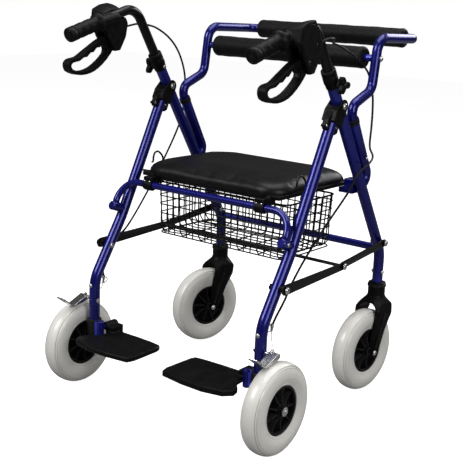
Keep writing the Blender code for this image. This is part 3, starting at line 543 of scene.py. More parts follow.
def cut_by(obj, cutter):
    """Applies a difference Boolean and removes the cutter."""
    boolean = obj.modifiers.new("Cut", "BOOLEAN")
    boolean.operation = "DIFFERENCE"
    boolean.solver = "EXACT"
    boolean.object = cutter
    bpy.context.view_layer.update()
    mesh = evaluated_mesh(obj)
    obj.modifiers.clear()
    obj.data = mesh
    bpy.data.objects.remove(cutter)
    mesh.shade_smooth()
    mesh.set_sharp_from_angle(angle=SHARP_ANGLE)


def box_into(shape, low, high):
    low, high = Vector(low), Vector(high)
    for vert in bmesh.ops.create_cube(shape, size=1)["verts"]:
        vert.co = (low + high) / 2 + Vector(a * b for a, b in zip(vert.co, high - low))


# Tubes


def side_line(x, bends, lift=0.0):
    """A bent line through (outline point, bend radius) pairs in the plane of a side frame."""
    return rounded([(at(x, point, lift), radius) for point, radius in bends])


def build_side_tubes(side, sign):
    """Upright, backrest socket, front leg and handle bar of one side."""
    x = sign * SIDE_X
    line = side_line(x, [(UPRIGHT_TOP, 0), (UPRIGHT_KNEE, 0.08), ((STEM_Y, 0.262), 0)])
    bar(f"upright_tube_{side}", line, TUBE_R, "blue_paint", "frame", f"upright_{side}", bore=BORE_R)

    line = side_line(x, [(SOCKET_TOP, 0), (SOCKET_BEND, 0.022), ((0.108, 0.5095), 0)])
    bar(f"socket_tube_{side}", line, TUBE_R, "blue_paint", "frame", f"backrest_socket_{side}", bore=BORE_R)
    lip = [(BORE_R + 0.0001, -0.001), (TUBE_R + 0.0008, -0.001), (TUBE_R + 0.0011, 0.0)]
    lip.append((TUBE_R + 0.0011, 0.01))
    lip += [(TUBE_R + 0.0002, 0.011), (TUBE_R + 0.0001, 0.0002), (BORE_R + 0.0001, 0.0002)]
    way = (0, *SOCKET_DIR)
    lathe(f"socket_lip_{side}", lip, at(x, SOCKET_TOP), way, "black_plastic", "frame", closed=True)

    line = side_line(x, LEG_BENDS)
    bar(f"front_leg_tube_{side}", line, TUBE_R, "blue_paint", "front_legs", f"front_leg_{side}")

    lift = HANDLE_LIFT[side]
    start = UPRIGHT_TOP - UPRIGHT_DIR * 0.17
    end = GRIP_END - GRIP_DIR * 0.006
    line = side_line(x, [(start, 0), (HANDLE_CORNER, 0.045), (end, 0)], lift)
    tube = bar(f"handle_bar_{side}", line, INNER_R, "black_paint", f"handle_{side}", f"handle_tube_{side}")
    # The slot that the fold bolt stands in, over the whole travel of the handle.
    bolt = (FOLD_AXIS - UPRIGHT_TOP).dot(UPRIGHT_DIR) - lift
    slot = bmesh.new()
    low, high = (UPRIGHT_TOP + UPRIGHT_DIR * (bolt + reach) for reach in (-0.0745, 0.0245))
    square = Vector((-UPRIGHT_DIR[1], UPRIGHT_DIR[0])) * 0.0045
    corners = [low - square, low + square, high + square, high - square]
    prism_into(slot, *([at(x + dx, c, lift) for c in corners] for dx in (-0.02, 0.02)))
    cut_by(tube, placed("slot", to_mesh("slot", slot)))


def hoop(name, bends, radius, body, node, sides=32):
    """A tube that runs up the left side, across and down the right one."""
    left, right = ([(at(s * SIDE_X, p), r) for p, r in bends] for s in (-1, 1))
    bar(name, rounded(left + right[::-1], 4), radius, "blue_paint", body, node, sides)


def build_hoops():
    """Seat hoop, backrest tube with its rail, and the rear crossbar."""
    weld, foot = Vector((-0.1545, 0.4183)), Vector((-0.1875, 0.429))
    bends = [(weld, 0), (foot, 0.0145), (SEAT_HINGE, 0.05)]
    hoop("seat_hoop_tube", bends, 0.008, "front_legs", "seat_hoop", 28)

    bends = [
        (SOCKET_TOP + SOCKET_DIR * 0.125, 0),
        (SOCKET_TOP - SOCKET_DIR * 0.031, 0.024),
        (Vector((0.128, 0.728)), 0.03),
        (Vector((0.144, 0.842)), 0.035),
        (PUSH_BAR, 0.028),
    ]
    hoop("backrest_tube", bends, INNER_R, "backrest", "backrest_hoop")

    end = SIDE_X - INNER_R + 0.001
    line = [at(-end, BACK_ROLL), at(end, BACK_ROLL)]
    bar("back_rail_tube", line, 0.008, "blue_paint", "backrest", "back_rail", sides=24)
    line = [at(x, (STEM_Y, 0.345)) for x in (-0.2296, 0.2296)]
    bar("crossbar_tube", line, 0.009, "blue_paint", "frame", "rear_crossbar")


# Wheels


# (radius, half width) from bore to tread in millimetres, with a bead step and shoulder grooves
TYRE_PROFILE = [
    (54, 18), (55.6, 19.2), (57.5, 20.6), (59, 20.9), (59.6, 20.2),
    (60.4, 20.9), (62.5, 22.1), (65.5, 23.1), (66.2, 22.7), (66.9, 23.3),
    (71, 23.9), (76, 24), (81, 23.6), (85.5, 22.5), (89, 21),
    (89.6, 19), (90.2, 18.8), (90.8, 19.9), (93, 18.3), (93.5, 15.4),
    (94.3, 14.8), (95, 16.8), (96.6, 14.4), (98.2, 11.2), (99.3, 7.2),
    (99.9, 3),
]


def both_faces(half):
    """A closed profile from one face's (radius, half width) points in millimetres."""
    half = [(r / 1000, h / 1000) for r, h in half]
    return half + [(r, -h) for r, h in half[::-1]]


def build_wheel(kind, side, centre, axis):
    """A solid tyre on a recessed moulded hub with spokes."""
    name, node = f"{kind}_wheel_{side}", f"{kind}_tyre_{side}"
    tyre, place = both_faces(TYRE_PROFILE), (centre, axis)
    lathe(f"{name}_tread", tyre, *place, "grey_tyre", name, node, steps=112, closed=True)

    shape = bmesh.new()
    half = [
        (5.5, 24), (10, 24), (10.8, 23.6), (11.3, 20), (15, 19.5),
        (15.6, 18.6), (17.2, 3), (42, 2.5), (45.5, 4.5), (47.8, 15),
        (48.6, 16.6), (52.5, 17), (53.6, 16),
    ]
    lathe_into(shape, both_faces(half), centre, axis, 96, closed=True)
    turn = Vector((0, 0, 1)).rotation_difference(Vector(axis)).to_matrix()
    outline = [(0.0145, 0.002), (0.0145, 0.0178), (0.03, 0.0128), (0.0475, 0.0138), (0.0475, 0.002)]
    for k in range(WHEEL_SPOKES):
        spin = Matrix.Rotation(tau * (k + 0.2) / WHEEL_SPOKES, 3, "Z")
        for face in (-1, 1):
            walls = []
            for half_width in (-0.0011, 0.0011):
                spots = [(r, half_width * (1.5 if r < 0.02 else 1.0), face * h) for r, h in outline]
                walls.append([Vector(centre) + turn @ (spin @ Vector(spot)) for spot in spots])
            prism_into(shape, *walls)
    new_piece(f"{name}_hub", shape, "black_plastic", name, f"{kind}_hub_{side}")


def build_front_wheels(side, sign):
    """A front wheel with its axle bolt, washer, nuts and spacer."""
    x, y, z = FRONT_WHEEL
    centre = Vector((sign * x, y + SHIFT, z))
    build_wheel("front", side, centre, (1, 0, 0))
    shape = bmesh.new()
    axis = (sign, 0, 0)
    shank = [(0, -0.0645), (0.0045, -0.0645), (0.0049, -0.063), (0.0049, 0.0278), (0.0042, 0.0292)]
    lathe_into(shape, shank + [(0, 0.0295)], centre, axis, 28)
    washer = [(0.0049, 0.0243), (0.0098, 0.0243), (0.0098, 0.0256), (0.0049, 0.0256)]
    nut = [(0.0049, 0.0256), (0.0078, 0.0256), (0.0078, 0.0275), (0.0069, 0.0283), (0.0049, 0.0283)]
    inner_nut = [(0.0049, -0.0592), (0.0078, -0.0592), (0.0078, -0.0635), (0.0049, -0.064)]
    spacer = [(0.0049, -0.0247), (0.0085, -0.0247), (0.0085, -0.0328), (0.0049, -0.0328)]
    for ring, steps in ((washer, 40), (nut, 6), (inner_nut, 6), (spacer, 32)):
        lathe_into(shape, ring, centre, axis, steps, closed=True)
    new_piece(f"axle_bolt_{side}", shape, "zinc", "front_legs", f"front_axle_{side}")


def build_castors(side, sign):
    """A castor wheel in its fork, with the bearing cap and axle ends."""
    yaw = Matrix.Rotation(CASTOR_YAW[side], 4, "Z")
    stem = Vector((sign * SIDE_X, STEM_Y + SHIFT, 0))

    def turned(x, y, z):
        return stem + yaw @ Vector((x, y, z))

    axis = yaw @ Vector((1, 0, 0))
    build_wheel("castor", side, turned(0, -CASTOR_TRAIL, 0.1), axis)
    body = f"castor_{side}"

    def round_neck(point):
        """Narrows the fork's square top to a round neck."""
        away = Vector((point.x - stem.x, point.y - stem.y))
        share = min(1.0, max(0.0, (point.z - 0.196) / 0.036))
        most = 0.048 + (0.0208 - 0.048) * share * share * (3 - 2 * share)
        if away.length > most:
            away = away.normalized() * most
        return Vector((stem.x + away.x, stem.y + away.y, point.z))

    moulded(f"castor_fork_{side}", body, 0.0014, 14, round_neck)
    rib = bmesh.new()
    # A ridge down the middle of each arm and the bearing cap above the crown.
    for s in (-1, 1):
        low, high = turned(s * 0.0378, -0.041, 0.112), turned(s * 0.0378, -0.012, 0.192)
        sweep_into(rib, spline([low, turned(s * 0.0383, -0.03, 0.15), high], 6), 0.0022, 12)
    cap = [(0.0215, 0.2505), (0.0226, 0.2515), (0.0226, 0.2565), (0.0205, 0.258), (0.0145, 0.259)]
    cap += [(0.0145, 0.2615), (0.0062, 0.2615), (0.0062, 0.2505)]
    lathe_into(rib, cap, stem, (0, 0, 1), 48, closed=True)
    new_piece(f"castor_trim_{side}", rib, "black_plastic", body)
    ends = [(turned(s * 0.039, -CASTOR_TRAIL, 0.1), axis * s) for s in (-1, 1)]
    bolts(f"castor_axle_ends_{side}", [(*end, 0.0052, 0.0042) for end in ends], body)


# Soft goods


def round_rectangle(half_x, low_y, high_y, radius, per_corner):
    """(x, y) points round a rectangle with rounded corners."""
    middle, half_y = (low_y + high_y) / 2, (high_y - low_y) / 2
    for cx, cy, start in ((-1, -1, 180), (1, -1, 270), (1, 1, 0), (-1, 1, 90)):
        for k in range(per_corner):
            a = radians(start + 90 * k / (per_corner - 1))
            x = cx * (half_x - radius) + radius * cos(a)
            yield x, middle + cy * (half_y - radius) + radius * sin(a)


def puff(obj):
    """Inflates the piece with Cloth and caps how far a point moves."""
    rest = [v.co.copy() for v in obj.data.vertices]
    cloth = obj.modifiers.new("Cloth", "CLOTH")
    cloth.settings.use_pressure = True
    cloth.settings.uniform_pressure_force = PUFF_PRESSURE
    cloth.settings.effector_weights.gravity = 0
    cloth.settings.tension_stiffness = 25
    cloth.settings.compression_stiffness = 25
    cloth.point_cache.frame_start = 1
    cloth.point_cache.frame_end = PUFF_FRAMES
    scene = bpy.context.scene
    for step in range(1, PUFF_FRAMES + 1):
        scene.frame_set(step)
    mesh = evaluated_mesh(obj)
    obj.modifiers.clear()
    obj.data = mesh
    for vert, start in zip(mesh.vertices, rest):
        move = vert.co - start
        if move.length > PUFF_LIMIT:
            vert.co = start + move * (PUFF_LIMIT / move.length)
    scene.frame_set(1)


def pad_shape(centre_y, half_x, half_y, corner, bottom, top):
    """A closed pad: a flat underside, rounded sides and a domed top, as rings round its middle."""
    side = [(0.012, 0.0), (0.0055, 0.0008), (0.0018, 0.004), (0.0, 0.0095), (0.001, 0.015)]
    side += [(0.004, 0.02), (0.0095, 0.0242), (0.018, 0.0272)]
    insets = [0.029, 0.042, 0.057, 0.074, 0.093, 0.113, 0.132]
    rings = []
    shape = bmesh.new()
    for inset, rise in side + [(inset, 1.0) for inset in insets]:
        hx, hy = half_x - inset, half_y - inset
        radius = max(0.004, corner - inset * 0.5)
        ring = []
        for x, y in round_rectangle(hx, -hy, hy, radius, 9):
            edge = (abs(x / half_x) ** 2.6 + abs(y / half_y) ** 2.6) ** (1 / 2.6)
            dome = top - 0.0135 * edge**2.3
            ring.append(shape.verts.new((x, y + centre_y, min(dome, bottom + rise))))
        rings.append(ring)
    for ring, following in zip(rings, rings[1:]):
        join(shape, ring, following)
    shape.faces.new(rings[0])
    shape.faces.new(rings[-1])
    return to_mesh("pad", shape)


def build_seat_pad():
    """A crowned vinyl cushion wrapped down over the edge of its board, flat underneath."""
    low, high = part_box("seat_pad")
    centre = (low + high) / 2
    bottom, top = low.z - BOARD_THICKNESS, high.z + 0.002
    half_x, half_y = (high.x - low.x) / 2 + 0.004, (high.y - low.y) / 2 + 0.0015
    mesh = remeshed(pad_shape(centre.y, half_x, half_y, 0.06, bottom, top), 0.0045)
    for vert in mesh.vertices:
        u, v = (vert.co.x - centre.x) / half_x, (vert.co.y - centre.y) / half_y
        # The sides pull in between the corners.
        vert.co.x -= copysign(0.0035 * max(0.0, 1 - v * v) * abs(u) ** 6, u)
        vert.co.y -= copysign(0.0035 * max(0.0, 1 - u * u) * abs(v) ** 6, v)
    pad = placed("seat_cushion", mesh)
    puff(pad)
    smooth = pad.modifiers.new("Smooth", "SMOOTH")
    smooth.factor = 0.5
    smooth.iterations = 3
    subdivide = pad.modifiers.new("Subdivision", "SUBSURF")
    subdivide.levels = 1
    subdivide.render_levels = 1
    bpy.context.view_layer.update()
    mesh = evaluated_mesh(pad)
    bpy.data.objects.remove(pad)
    for vert in mesh.vertices:
        # The cover wraps lower over the front edge of the board.
        front = min(1.0, max(0.0, (centre.y - 0.11 - vert.co.y) / 0.022))
        lowness = min(1.0, max(0.0, (bottom + 0.02 - vert.co.z) / 0.02))
        drop = 0.0055 * front * front * (3 - 2 * front) * lowness
        vert.co.z = min(max(vert.co.z, bottom), top) - drop
        vert.co.x = min(max(vert.co.x, low.x - 0.004), high.x + 0.004)
    new_piece("seat_cushion", mesh, "black_vinyl", "seat", "seat_pad", sharp=False)


def build_roll(name, point, radius, bore, node):
    """A foam sleeve with soft, slightly drawn-in ends and a little unevenness along it."""
    end, round_off = 0.2135, 0.0075
    inside = [(bore, end - 0.003), (bore + 0.002, end - 0.0005), (radius - 0.008, end)]
    shoulder = []
    for i in range(1, 7):
        a = radians(90 * i / 6)
        wide, back = round_off * sin(a), round_off * (1 - cos(a))
        shoulder.append((radius - round_off + wide, end - back))
    profile = [(r, -h) for r, h in inside + shoulder]
    spans = 36
    for i in range(1, spans):
        height = (round_off - end) + 2 * (end - round_off) * i / spans
        wobble = 0.00035 * sin(height * 61) + 0.00025 * sin(height * 143 + 1.3)
        profile.append((radius - 0.0004 + wobble, height))
    profile += (inside + shoulder)[::-1]
    place = at(0, point), (1, 0, 0)
    lathe(name, profile, *place, "black_foam", "backrest", node, steps=72, closed=True)


# Basket and wires


def build_basket():
    """Coated wire: a heavy rim, upright and level wires on every side and a sagging floor."""
    low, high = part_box("basket")
    top, bottom = high.z - 0.0115, low.z
    levels = [0.13, 0.28, 0.44, 0.61, 0.8]
    y_top, y_bottom = (-0.103 + SHIFT, 0.097 + SHIFT), (-0.1 + SHIFT, 0.098 + SHIFT)
    wire, inset = 0.0016, 0.0015

    def corner_ring(share):
        """The basket's outline at a share of its depth."""
        half = 0.1905 - 0.008 * share - inset
        front = y_top[0] + (y_bottom[0] - y_top[0]) * share + inset
        rear = y_top[1] + (y_bottom[1] - y_top[1]) * share - inset
        z = top - (top - bottom) * share
        return [Vector((*spot, z)) for spot in round_rectangle(half, front, rear, 0.018, 6)]

    runs = [(corner_ring(0.012), 0.0023, True)]
    runs += [(corner_ring(share), wire, True) for share in levels]
    runs.append((corner_ring(0.985), 0.0018, True))

    def sag(x, y):
        """How far the floor's wires hang at a point."""
        return 0.0045 * (1 - (x / 0.176) ** 2) * (1 - ((y - SHIFT) / 0.1) ** 2)

    floor = bottom + 0.006
    columns = 19
    for i in range(columns):
        share = -1 + 2 * (i + 0.5) / columns
        x_top, x_low = share * 0.187, share * 0.177
        upper, halfway = (x_top, top - 0.002), ((x_top + x_low) / 2, (top + bottom) / 2)
        lines = (y_top[0] + 0.003, y_top[1] - 0.003)
        walls = [[Vector((px, y, pz)) for px, pz in (upper, halfway)] for y in lines]
        if i % 3 == 0:
            across = [(x_low, y, floor - sag(x_low, y)) for y in (-0.092, -0.05, 0.004, 0.055, 0.096)]
            runs.append((spline(walls[0] + across + walls[1][::-1], 5), wire, False))
            continue
        for wall, y in zip(walls, (y_bottom[0] + 0.002, y_bottom[1] - 0.002)):
            runs.append((spline(wall + [(x_low, y, bottom + 0.0035)], 3), wire, False))
    rows = 9
    for i in range(rows):
        y = SHIFT - 0.003 + 0.094 * (-1 + 2 * (i + 0.5) / rows)
        ends = [(-0.188, y, top - 0.002), (-0.1845, y, (top + bottom) / 2)]
        middle = [(px, y, floor + 0.0012 - sag(px, y)) for px in (-0.176, -0.1, 0, 0.1, 0.176)]
        others = [(-px, py, pz) for px, py, pz in ends[::-1]]
        runs.append((spline(ends + middle + others, 5), wire, False))
    wires("basket_wires", runs, "black_wire", "basket", "basket")


def build_hooks():
    """A bent wire hook on each front leg, beside the seat."""
    runs = []
    for sign in (-1, 1):
        x = sign * 0.2065
        loop = [(-0.07, 0.512), (-0.061, 0.5285), (-0.064, 0.541), (-0.078, 0.552)]
        loop += [(-0.09, 0.55), (-0.0945, 0.54), (-0.095, 0.531), (-0.0995, 0.5285)]
        points = [at(sign * 0.23, (-0.1075, 0.508)), at(sign * 0.215, (-0.09, 0.5055))]
        runs.append((spline(points + [at(x, p) for p in loop], 5), 0.0024, False))
    wires("bag_hooks", runs, "black_wire", "front_legs", sides=12)


# Cable points are in millimetres. Both cables end down the back of a front leg.
CABLE_FOOT = [(259, -196, 312), (254, -213, 284), (246, -216.5, 261)]
# The left cable hangs outside its side frame; the right one starts inside and crosses behind the upright.
CABLE_ROUTES = {
    "left": [
        (266, -149, 838), (270, -112, 844), (272, -85, 847),
        (275, -52, 844.5), (276.5, -16.5, 837), (276.5, 25.6, 816.5),
        (276.5, 58.6, 788.5), (276.5, 82, 752), (276.5, 94.5, 710),
        (276.5, 93, 650), (276.5, 68, 582), (276.5, -23, 456),
        (264, -120, 366), (259, -170, 344), *CABLE_FOOT,
    ],
    "right": [
        (264, -143, 829), (261, -100, 843), (258, -68, 844),
        (243, -42, 840), (223, -12, 832), (218, 26.6, 824),
        (218, 82.4, 803.5), (218, 128.6, 780), (218, 157.3, 756),
        (219, 176, 715), (221, 178.5, 680), (225, 172, 640),
        (235, 153, 598), (256, 133, 580), (270, 96, 570),
        (274, 40, 550), (275.5, 5, 518), (270, -68.7, 455),
        (261, -130, 390), (259, -172, 344), *CABLE_FOOT,
    ],
}
# The point of each route where the upper length meets the lower one.
CABLE_SPLIT = {"left": 9, "right": 12}


def build_cable(side, sign):
    """Two lengths that meet on the frame, the upper one from the handle and the lower one down to the front
    leg, and a ferrule that rides on the handle.
    """
    route = [Vector((sign * x, y, z)) / 1000 + Vector((0, SHIFT, 0)) for x, y, z in CABLE_ROUTES[side]]
    split = CABLE_SPLIT[side]
    line = spline(route, 6)
    upper, lower = line[: split * 6 + 1], line[split * 6 :]
    node, radius = f"brake_cable_{side}", 0.0024
    first = bar(f"cable_upper_{side}", upper, radius, "black_plastic", None, node, sides=12)
    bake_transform(first)
    second = bar(f"cable_lower_{side}", lower, radius, "black_plastic", None, sides=12)
    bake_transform(second)
    ferrule = [(0, -0.002), (0.0042, -0.002), (0.0042, 0.007), (0.0034, 0.008), (0.0034, 0.014)]
    ferrule, place = ferrule + [(0, 0.014)], (line[0], (line[3] - line[0]).normalized())
    lathe(f"cable_ferrule_{side}", ferrule, *place, "black_paint", f"handle_{side}", steps=20)


# Handles


def build_grip(side, sign):
    """A moulded grip: thumb flange, faint finger bulges, rows of nubs and a ringed end."""
    x, lift = sign * SIDE_X, HANDLE_LIFT[side]
    start = at(x, GRIP_END - GRIP_DIR * GRIP_LENGTH, lift)
    axis = Vector((0, *GRIP_DIR))
    length, radius = GRIP_LENGTH, 0.0165
    profile = [(0.0112, 0.0), (0.019, 0.0), (0.0212, 0.0014), (0.0215, 0.0045), (0.0208, 0.008)]
    profile.append((0.0175, 0.011))
    steps = 30
    for i in range(steps + 1):
        height = 0.0125 + (length - 0.0165 - 0.0125) * i / steps
        bulge = 0.0004 * cos(tau * (height - 0.0125) / 0.022)
        profile.append((radius - 0.0006 + bulge, height))
    ending = [(0.0158, 0.015), (0.0153, 0.0145), (0.0158, 0.0138), (0.0163, 0.013), (0.0163, 0.0035)]
    ending += [(0.0156, 0.0012), (0.0142, 0.0002), (0.012, 0), (0.0112, 0.0008), (0.0104, 0), (0, 0)]
    profile += [(r, length - h) for r, h in ending]
    shape = bmesh.new()
    lathe_into(shape, profile, start, axis, 64)
    across = Vector((1, 0, 0))
    up = axis.cross(across).normalized()
    for row in range(10):
        angle = tau * row / 10
        outward = across * cos(angle) + up * sin(angle)
        for k in range(5):
            height = 0.022 + 0.0125 * k + (0.006 if row % 2 else 0.0)
            spot = start + axis * height + outward * (radius - 0.001)
            nub = [(0, 0.0009), (0.0007, 0.0008), (0.0013, 0.0004), (0.0016, -0.0004)]
            lathe_into(shape, nub[::-1], spot, outward, 10)
    new_piece(f"hand_grip_{side}", shape, "black_plastic", f"handle_{side}", f"grip_{side}")


def build_handle_parts(side, sign):
    """Brake housing, lever, clamp collar and knob of one side."""
    x, lift = sign * SIDE_X, HANDLE_LIFT[side]
    body = f"handle_{side}"
    outer = sign * HOUSING_X

    def sloping_top(point):
        """Lowers the top of the housing towards its inner side."""
        inward = min(1.0, max(0.0, abs(outer - point.x) / 0.042))
        height = max(0.0, (point.z - lift - 0.846) / 0.04)
        return Vector((point.x, point.y, point.z - 0.011 * inward**2 * height))

    moulded(f"brake_housing_{side}", body, 0.001, 26, sloping_top)
    moulded(f"brake_lever_{side}", f"lever_{side}", 0.0009)
    build_grip(side, sign)
    heads = [
        (at(outer, (-0.192, 0.803), lift), (sign, 0, 0), 0.0044, 0.0024),
        (at(outer, (-0.168, 0.838), lift), (sign, 0, 0), 0.003, 0.0016),
    ]
    bolts(f"housing_screws_{side}", heads, body, "black_paint")
    ridge = [(-0.2135, 0.8465), (-0.206, 0.864), (-0.19, 0.876), (-0.173, 0.873)]
    ridge += [(-0.16, 0.856), (-0.152, 0.838)]
    line = spline([at(outer - sign * 0.0003, p, lift) for p in ridge], 6)
    bar(f"housing_ridge_{side}", line, 0.0013, "black_plastic", body, sides=12)

    # Clamp collar on the upright, its screw boss and the small screw opposite.
    collar = [
        (0.0134, 0.006), (0.015, 0.0058), (0.016, 0.0048), (0.0163, 0.003), (0.0163, -0.004),
        (0.0157, -0.0048), (0.0157, -0.0062), (0.0163, -0.007), (0.0163, -0.0235), (0.0158, -0.026),
        (0.0148, -0.03), (0.0146, -0.0365), (0.0141, -0.038), (0.0131, -0.038), (0.0131, 0.0003),
        (0.0116, 0.0003), (0.0116, 0.006),
    ]
    shape = bmesh.new()
    lathe_into(shape, collar, at(x, UPRIGHT_TOP), (0, *UPRIGHT_DIR), 56, closed=True)
    knob = UPRIGHT_TOP - UPRIGHT_DIR * 0.031
    outward = (sign, 0, 0)
    boss = [(0.0034, 0.015), (0.007, 0.015), (0.0082, 0.016), (0.008, 0.0205), (0.0074, 0.0215)]
    lathe_into(shape, boss + [(0.0034, 0.0215)], at(x, knob), outward, 32, closed=True)
    new_piece(f"collar_{side}", shape, "black_plastic", "frame", f"clamp_collar_{side}")
    head = (at(x - sign * 0.0148, knob), (-sign, 0, 0), 0.0036, 0.0026)
    bolts(f"collar_screw_{side}", [head], "frame")

    moulded(f"clamp_knob_{side}", f"knob_{side}", 0.0007, 7)
    cap = [(0, 0.0002), (0.0062, 0.0002), (0.0062, 0.0016), (0.0052, 0.0026), (0, 0.003)]
    place = at(sign * 0.2762, knob), outward
    lathe(f"knob_cap_{side}", cap, *place, "black_paint", f"knob_{side}", steps=36)


# Leg fittings


def build_fittings(side, sign):
    """Everything screwed to a front leg, from its head down to the footplate."""
    x = sign * SIDE_X
    moulded(f"leg_head_{side}", "front_legs", 0.0009, 5)
    ends = [(at(x + s * 0.0166, FOLD_AXIS), (s, 0, 0)) for s in (-1, 1)]
    bolts(f"fold_bolt_heads_{side}", [(*end, 0.006, 0.0036) for end in ends], "frame")
    lobes = ((-0.059, 0.664), (-0.0215, 0.656))
    ends = [(at(x + s * 0.0066, lobe), (s, 0, 0)) for s in (-1, 1) for lobe in lobes]
    bolts(f"leg_head_rivets_{side}", [(*end, 0.0026, 0.0016) for end in ends], "front_legs")

    def narrow_plate(point):
        """Draws the plate over the tyre in towards the leg."""
        past = max(0.0, abs(point.x) - 0.2665)
        return Vector((point.x - sign * past * 0.36, point.y, point.z))

    moulded(f"brake_arm_{side}", f"brake_{side}", 0.0008, 2, narrow_plate, "zinc")
    head = (at(sign * 0.273, (-0.25, 0.2185)), (0, 0.1, 1), 0.0038, 0.0034, "hex")
    bolts(f"brake_nut_{side}", [head], f"brake_{side}")
    heads = [
        (at(x, (-0.2622, 0.249)), (0, -1, 0), 0.0042, 0.003),
        (at(x - sign * 0.0126, (-0.25, 0.212)), (-sign, 0, 0), 0.0046, 0.0036, "hex"),
        (at(x - sign * 0.0126, BRACE_FRONT), (-sign, 0, 0), 0.0052, 0.0036),
    ]
    bolts(f"leg_bolts_{side}", heads, "front_legs")
    guide = [(-0.2372, 0.262), (-0.226, 0.262), (-0.212, 0.259), (-0.2085, 0.252), (-0.215, 0.2475)]
    guide = spline([at(x, p) for p in guide + [(-0.229, 0.248)]], 5)
    bar(f"cable_guide_{side}", guide, 0.0011, "zinc", "front_legs", sides=12)
    adjuster = bmesh.new()
    top, heading = at(sign * 0.246, (-0.2165, 0.264)), Vector((0, -0.12, -1)).normalized()
    barrel = [(0, 0.0), (0.0038, 0.0), (0.0038, 0.007), (0.0028, 0.008), (0.0028, 0.016), (0, 0.016)]
    lathe_into(adjuster, barrel, top, heading, 20)
    inner = [at(sign * 0.25, (-0.223, 0.233)), at(sign * 0.269, (-0.24, 0.219))]
    sweep_into(adjuster, spline([top + heading * 0.015] + inner, 6), 0.0009, 8)
    new_piece(f"cable_adjuster_{side}", adjuster, "zinc", "front_legs")

    # Footrest clamp: a black collar on the leg, a blue hinge barrel and web beside it.
    y = -0.2495 + SHIFT
    collar = [(0.013, 0.128), (0.0163, 0.128), (0.017, 0.129), (0.017, 0.165), (0.0163, 0.166)]
    collar, place = collar + [(0.013, 0.166)], ((x, y, 0), (0, 0, 1))
    finish = ("black_plastic", "front_legs", f"footrest_bracket_{side}")
    lathe(f"foot_collar_{side}", collar, *place, *finish, closed=True)
    shape = bmesh.new()
    barrel_x = sign * 0.216
    barrel = [(0, 0.1275), (0.0076, 0.1275), (0.0086, 0.1285), (0.0086, 0.1655), (0.0076, 0.1665)]
    lathe_into(shape, barrel + [(0, 0.1665)], (barrel_x, y - 0.0065, 0), (0, 0, 1), 40)
    low_x, high_x = sorted((barrel_x, sign * 0.23))
    box_into(shape, (low_x, y - 0.012, 0.131), (high_x, y - 0.002, 0.163))
    pin = [(0, -0.256), (0.004, -0.256), (0.004, -0.208), (0, -0.208)]
    lathe_into(shape, pin, (sign * 0.212, SHIFT, 0.153), (0, 1, 0), 24)
    new_piece(f"foot_barrel_{side}", shape, "blue_paint", "front_legs")
    head = ((sign * 0.212, SHIFT - 0.2088, 0.153), (0, 1, 0), 0.0058, 0.003)
    bolts(f"foot_pin_end_{side}", [head], "front_legs")

    moulded(f"footplate_{side}", f"footplate_{side}", 0.0013, 5)


def build_frame_details(side, sign):
    """Seat rest, socket button, and the bolts of the frame, rail and braces."""
    moulded(f"seat_rest_{side}", "frame", 0.0009, 4, look="blue_paint")
    button = [(0, 0.0), (0.0036, 0.0), (0.0036, 0.0016), (0.0026, 0.0026), (0, 0.0028)]
    x = sign * (SIDE_X + TUBE_R - 0.0004)
    outward, inward = (sign, 0, 0), (-sign, 0, 0)
    lathe(f"socket_button_{side}", button, at(x, (0.108, 0.577)), outward, "zinc", "frame", steps=24)
    inner_x = sign * (SIDE_X - TUBE_R + 0.0004)
    heads = [
        (at(x, (STEM_Y, 0.287)), outward, 0.0046, 0.0034),
        (at(inner_x, (STEM_Y, 0.287)), inward, 0.0046, 0.0034, "hex"),
        (at(inner_x, BRACE_REAR), inward, 0.0052, 0.0036),
    ]
    bolts(f"upright_bolts_{side}", heads, "frame")
    head = (at(sign * (SIDE_X + 0.0108), BACK_ROLL), outward, 0.0052, 0.0045)
    bolts(f"rail_bolts_{side}", [head], "backrest")
    pin = (outward, 0.0062, 0.0036)
    heads = [(at(sign * LINK_X, spot), *pin) for spot in (BRACE_FRONT, BRACE_MIDDLE)]
    bolts(f"front_link_heads_{side}", heads, f"brace_front_{side}")
    bolts(f"rear_link_head_{side}", [(at(sign * REAR_LINK_X, BRACE_REAR), *pin)], "brace_rear")
    # Sleeve that holds the hoop's foot on the front leg.
    sleeve = [(0, 0), (0.0085, 0), (0.0104, 0.0022), (0.0104, 0.037), (0.0092, 0.039), (0, 0.039)]
    start, run = at(sign * SIDE_X, (-0.1975, 0.4322)), (0, 0.951, -0.309)
    lathe(f"hoop_bracket_{side}", sleeve, start, run, "blue_paint", "front_legs")
    head = (at(sign * (SIDE_X + 0.0102), (-0.183, 0.4275)), outward, 0.0036, 0.0026)
    bolts(f"hoop_bracket_bolt_{side}", [head], "front_legs")


def build_seat_details():
    """The screws of the two clips that hold the seat on its hoop."""
    places = [at(sign * 0.16 + dx, (-0.1648, 0.4984)) for sign in (-1, 1) for dx in (-0.007, 0.007)]
    heads = [(place, (0, -0.6, 0.8), 0.0026, 0.0018) for place in places]
    bolts("seat_clip_screws", heads, "seat")


def dress_cad_nodes():
    """Every CAD node still shown gets the procedural material of its finish."""
    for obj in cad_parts.values():
        if not obj.hide_render:
            finish = obj.data.materials[0].name.split(".")[0]
            obj.data.materials.clear()
            obj.data.materials.append(LOOKS[finish])


# Stage


def area(name, place, target, size, power):
    """A soft light that faces a point."""
    data = bpy.data.lights.new(name, "AREA")
    data.shape = "RECTANGLE"
    data.size, data.size_y = size
    data.energy = power
    obj = placed(name, data)
    obj.location = place
    obj.rotation_euler = (Vector(target) - Vector(place)).to_track_quat("-Z", "Y").to_euler()


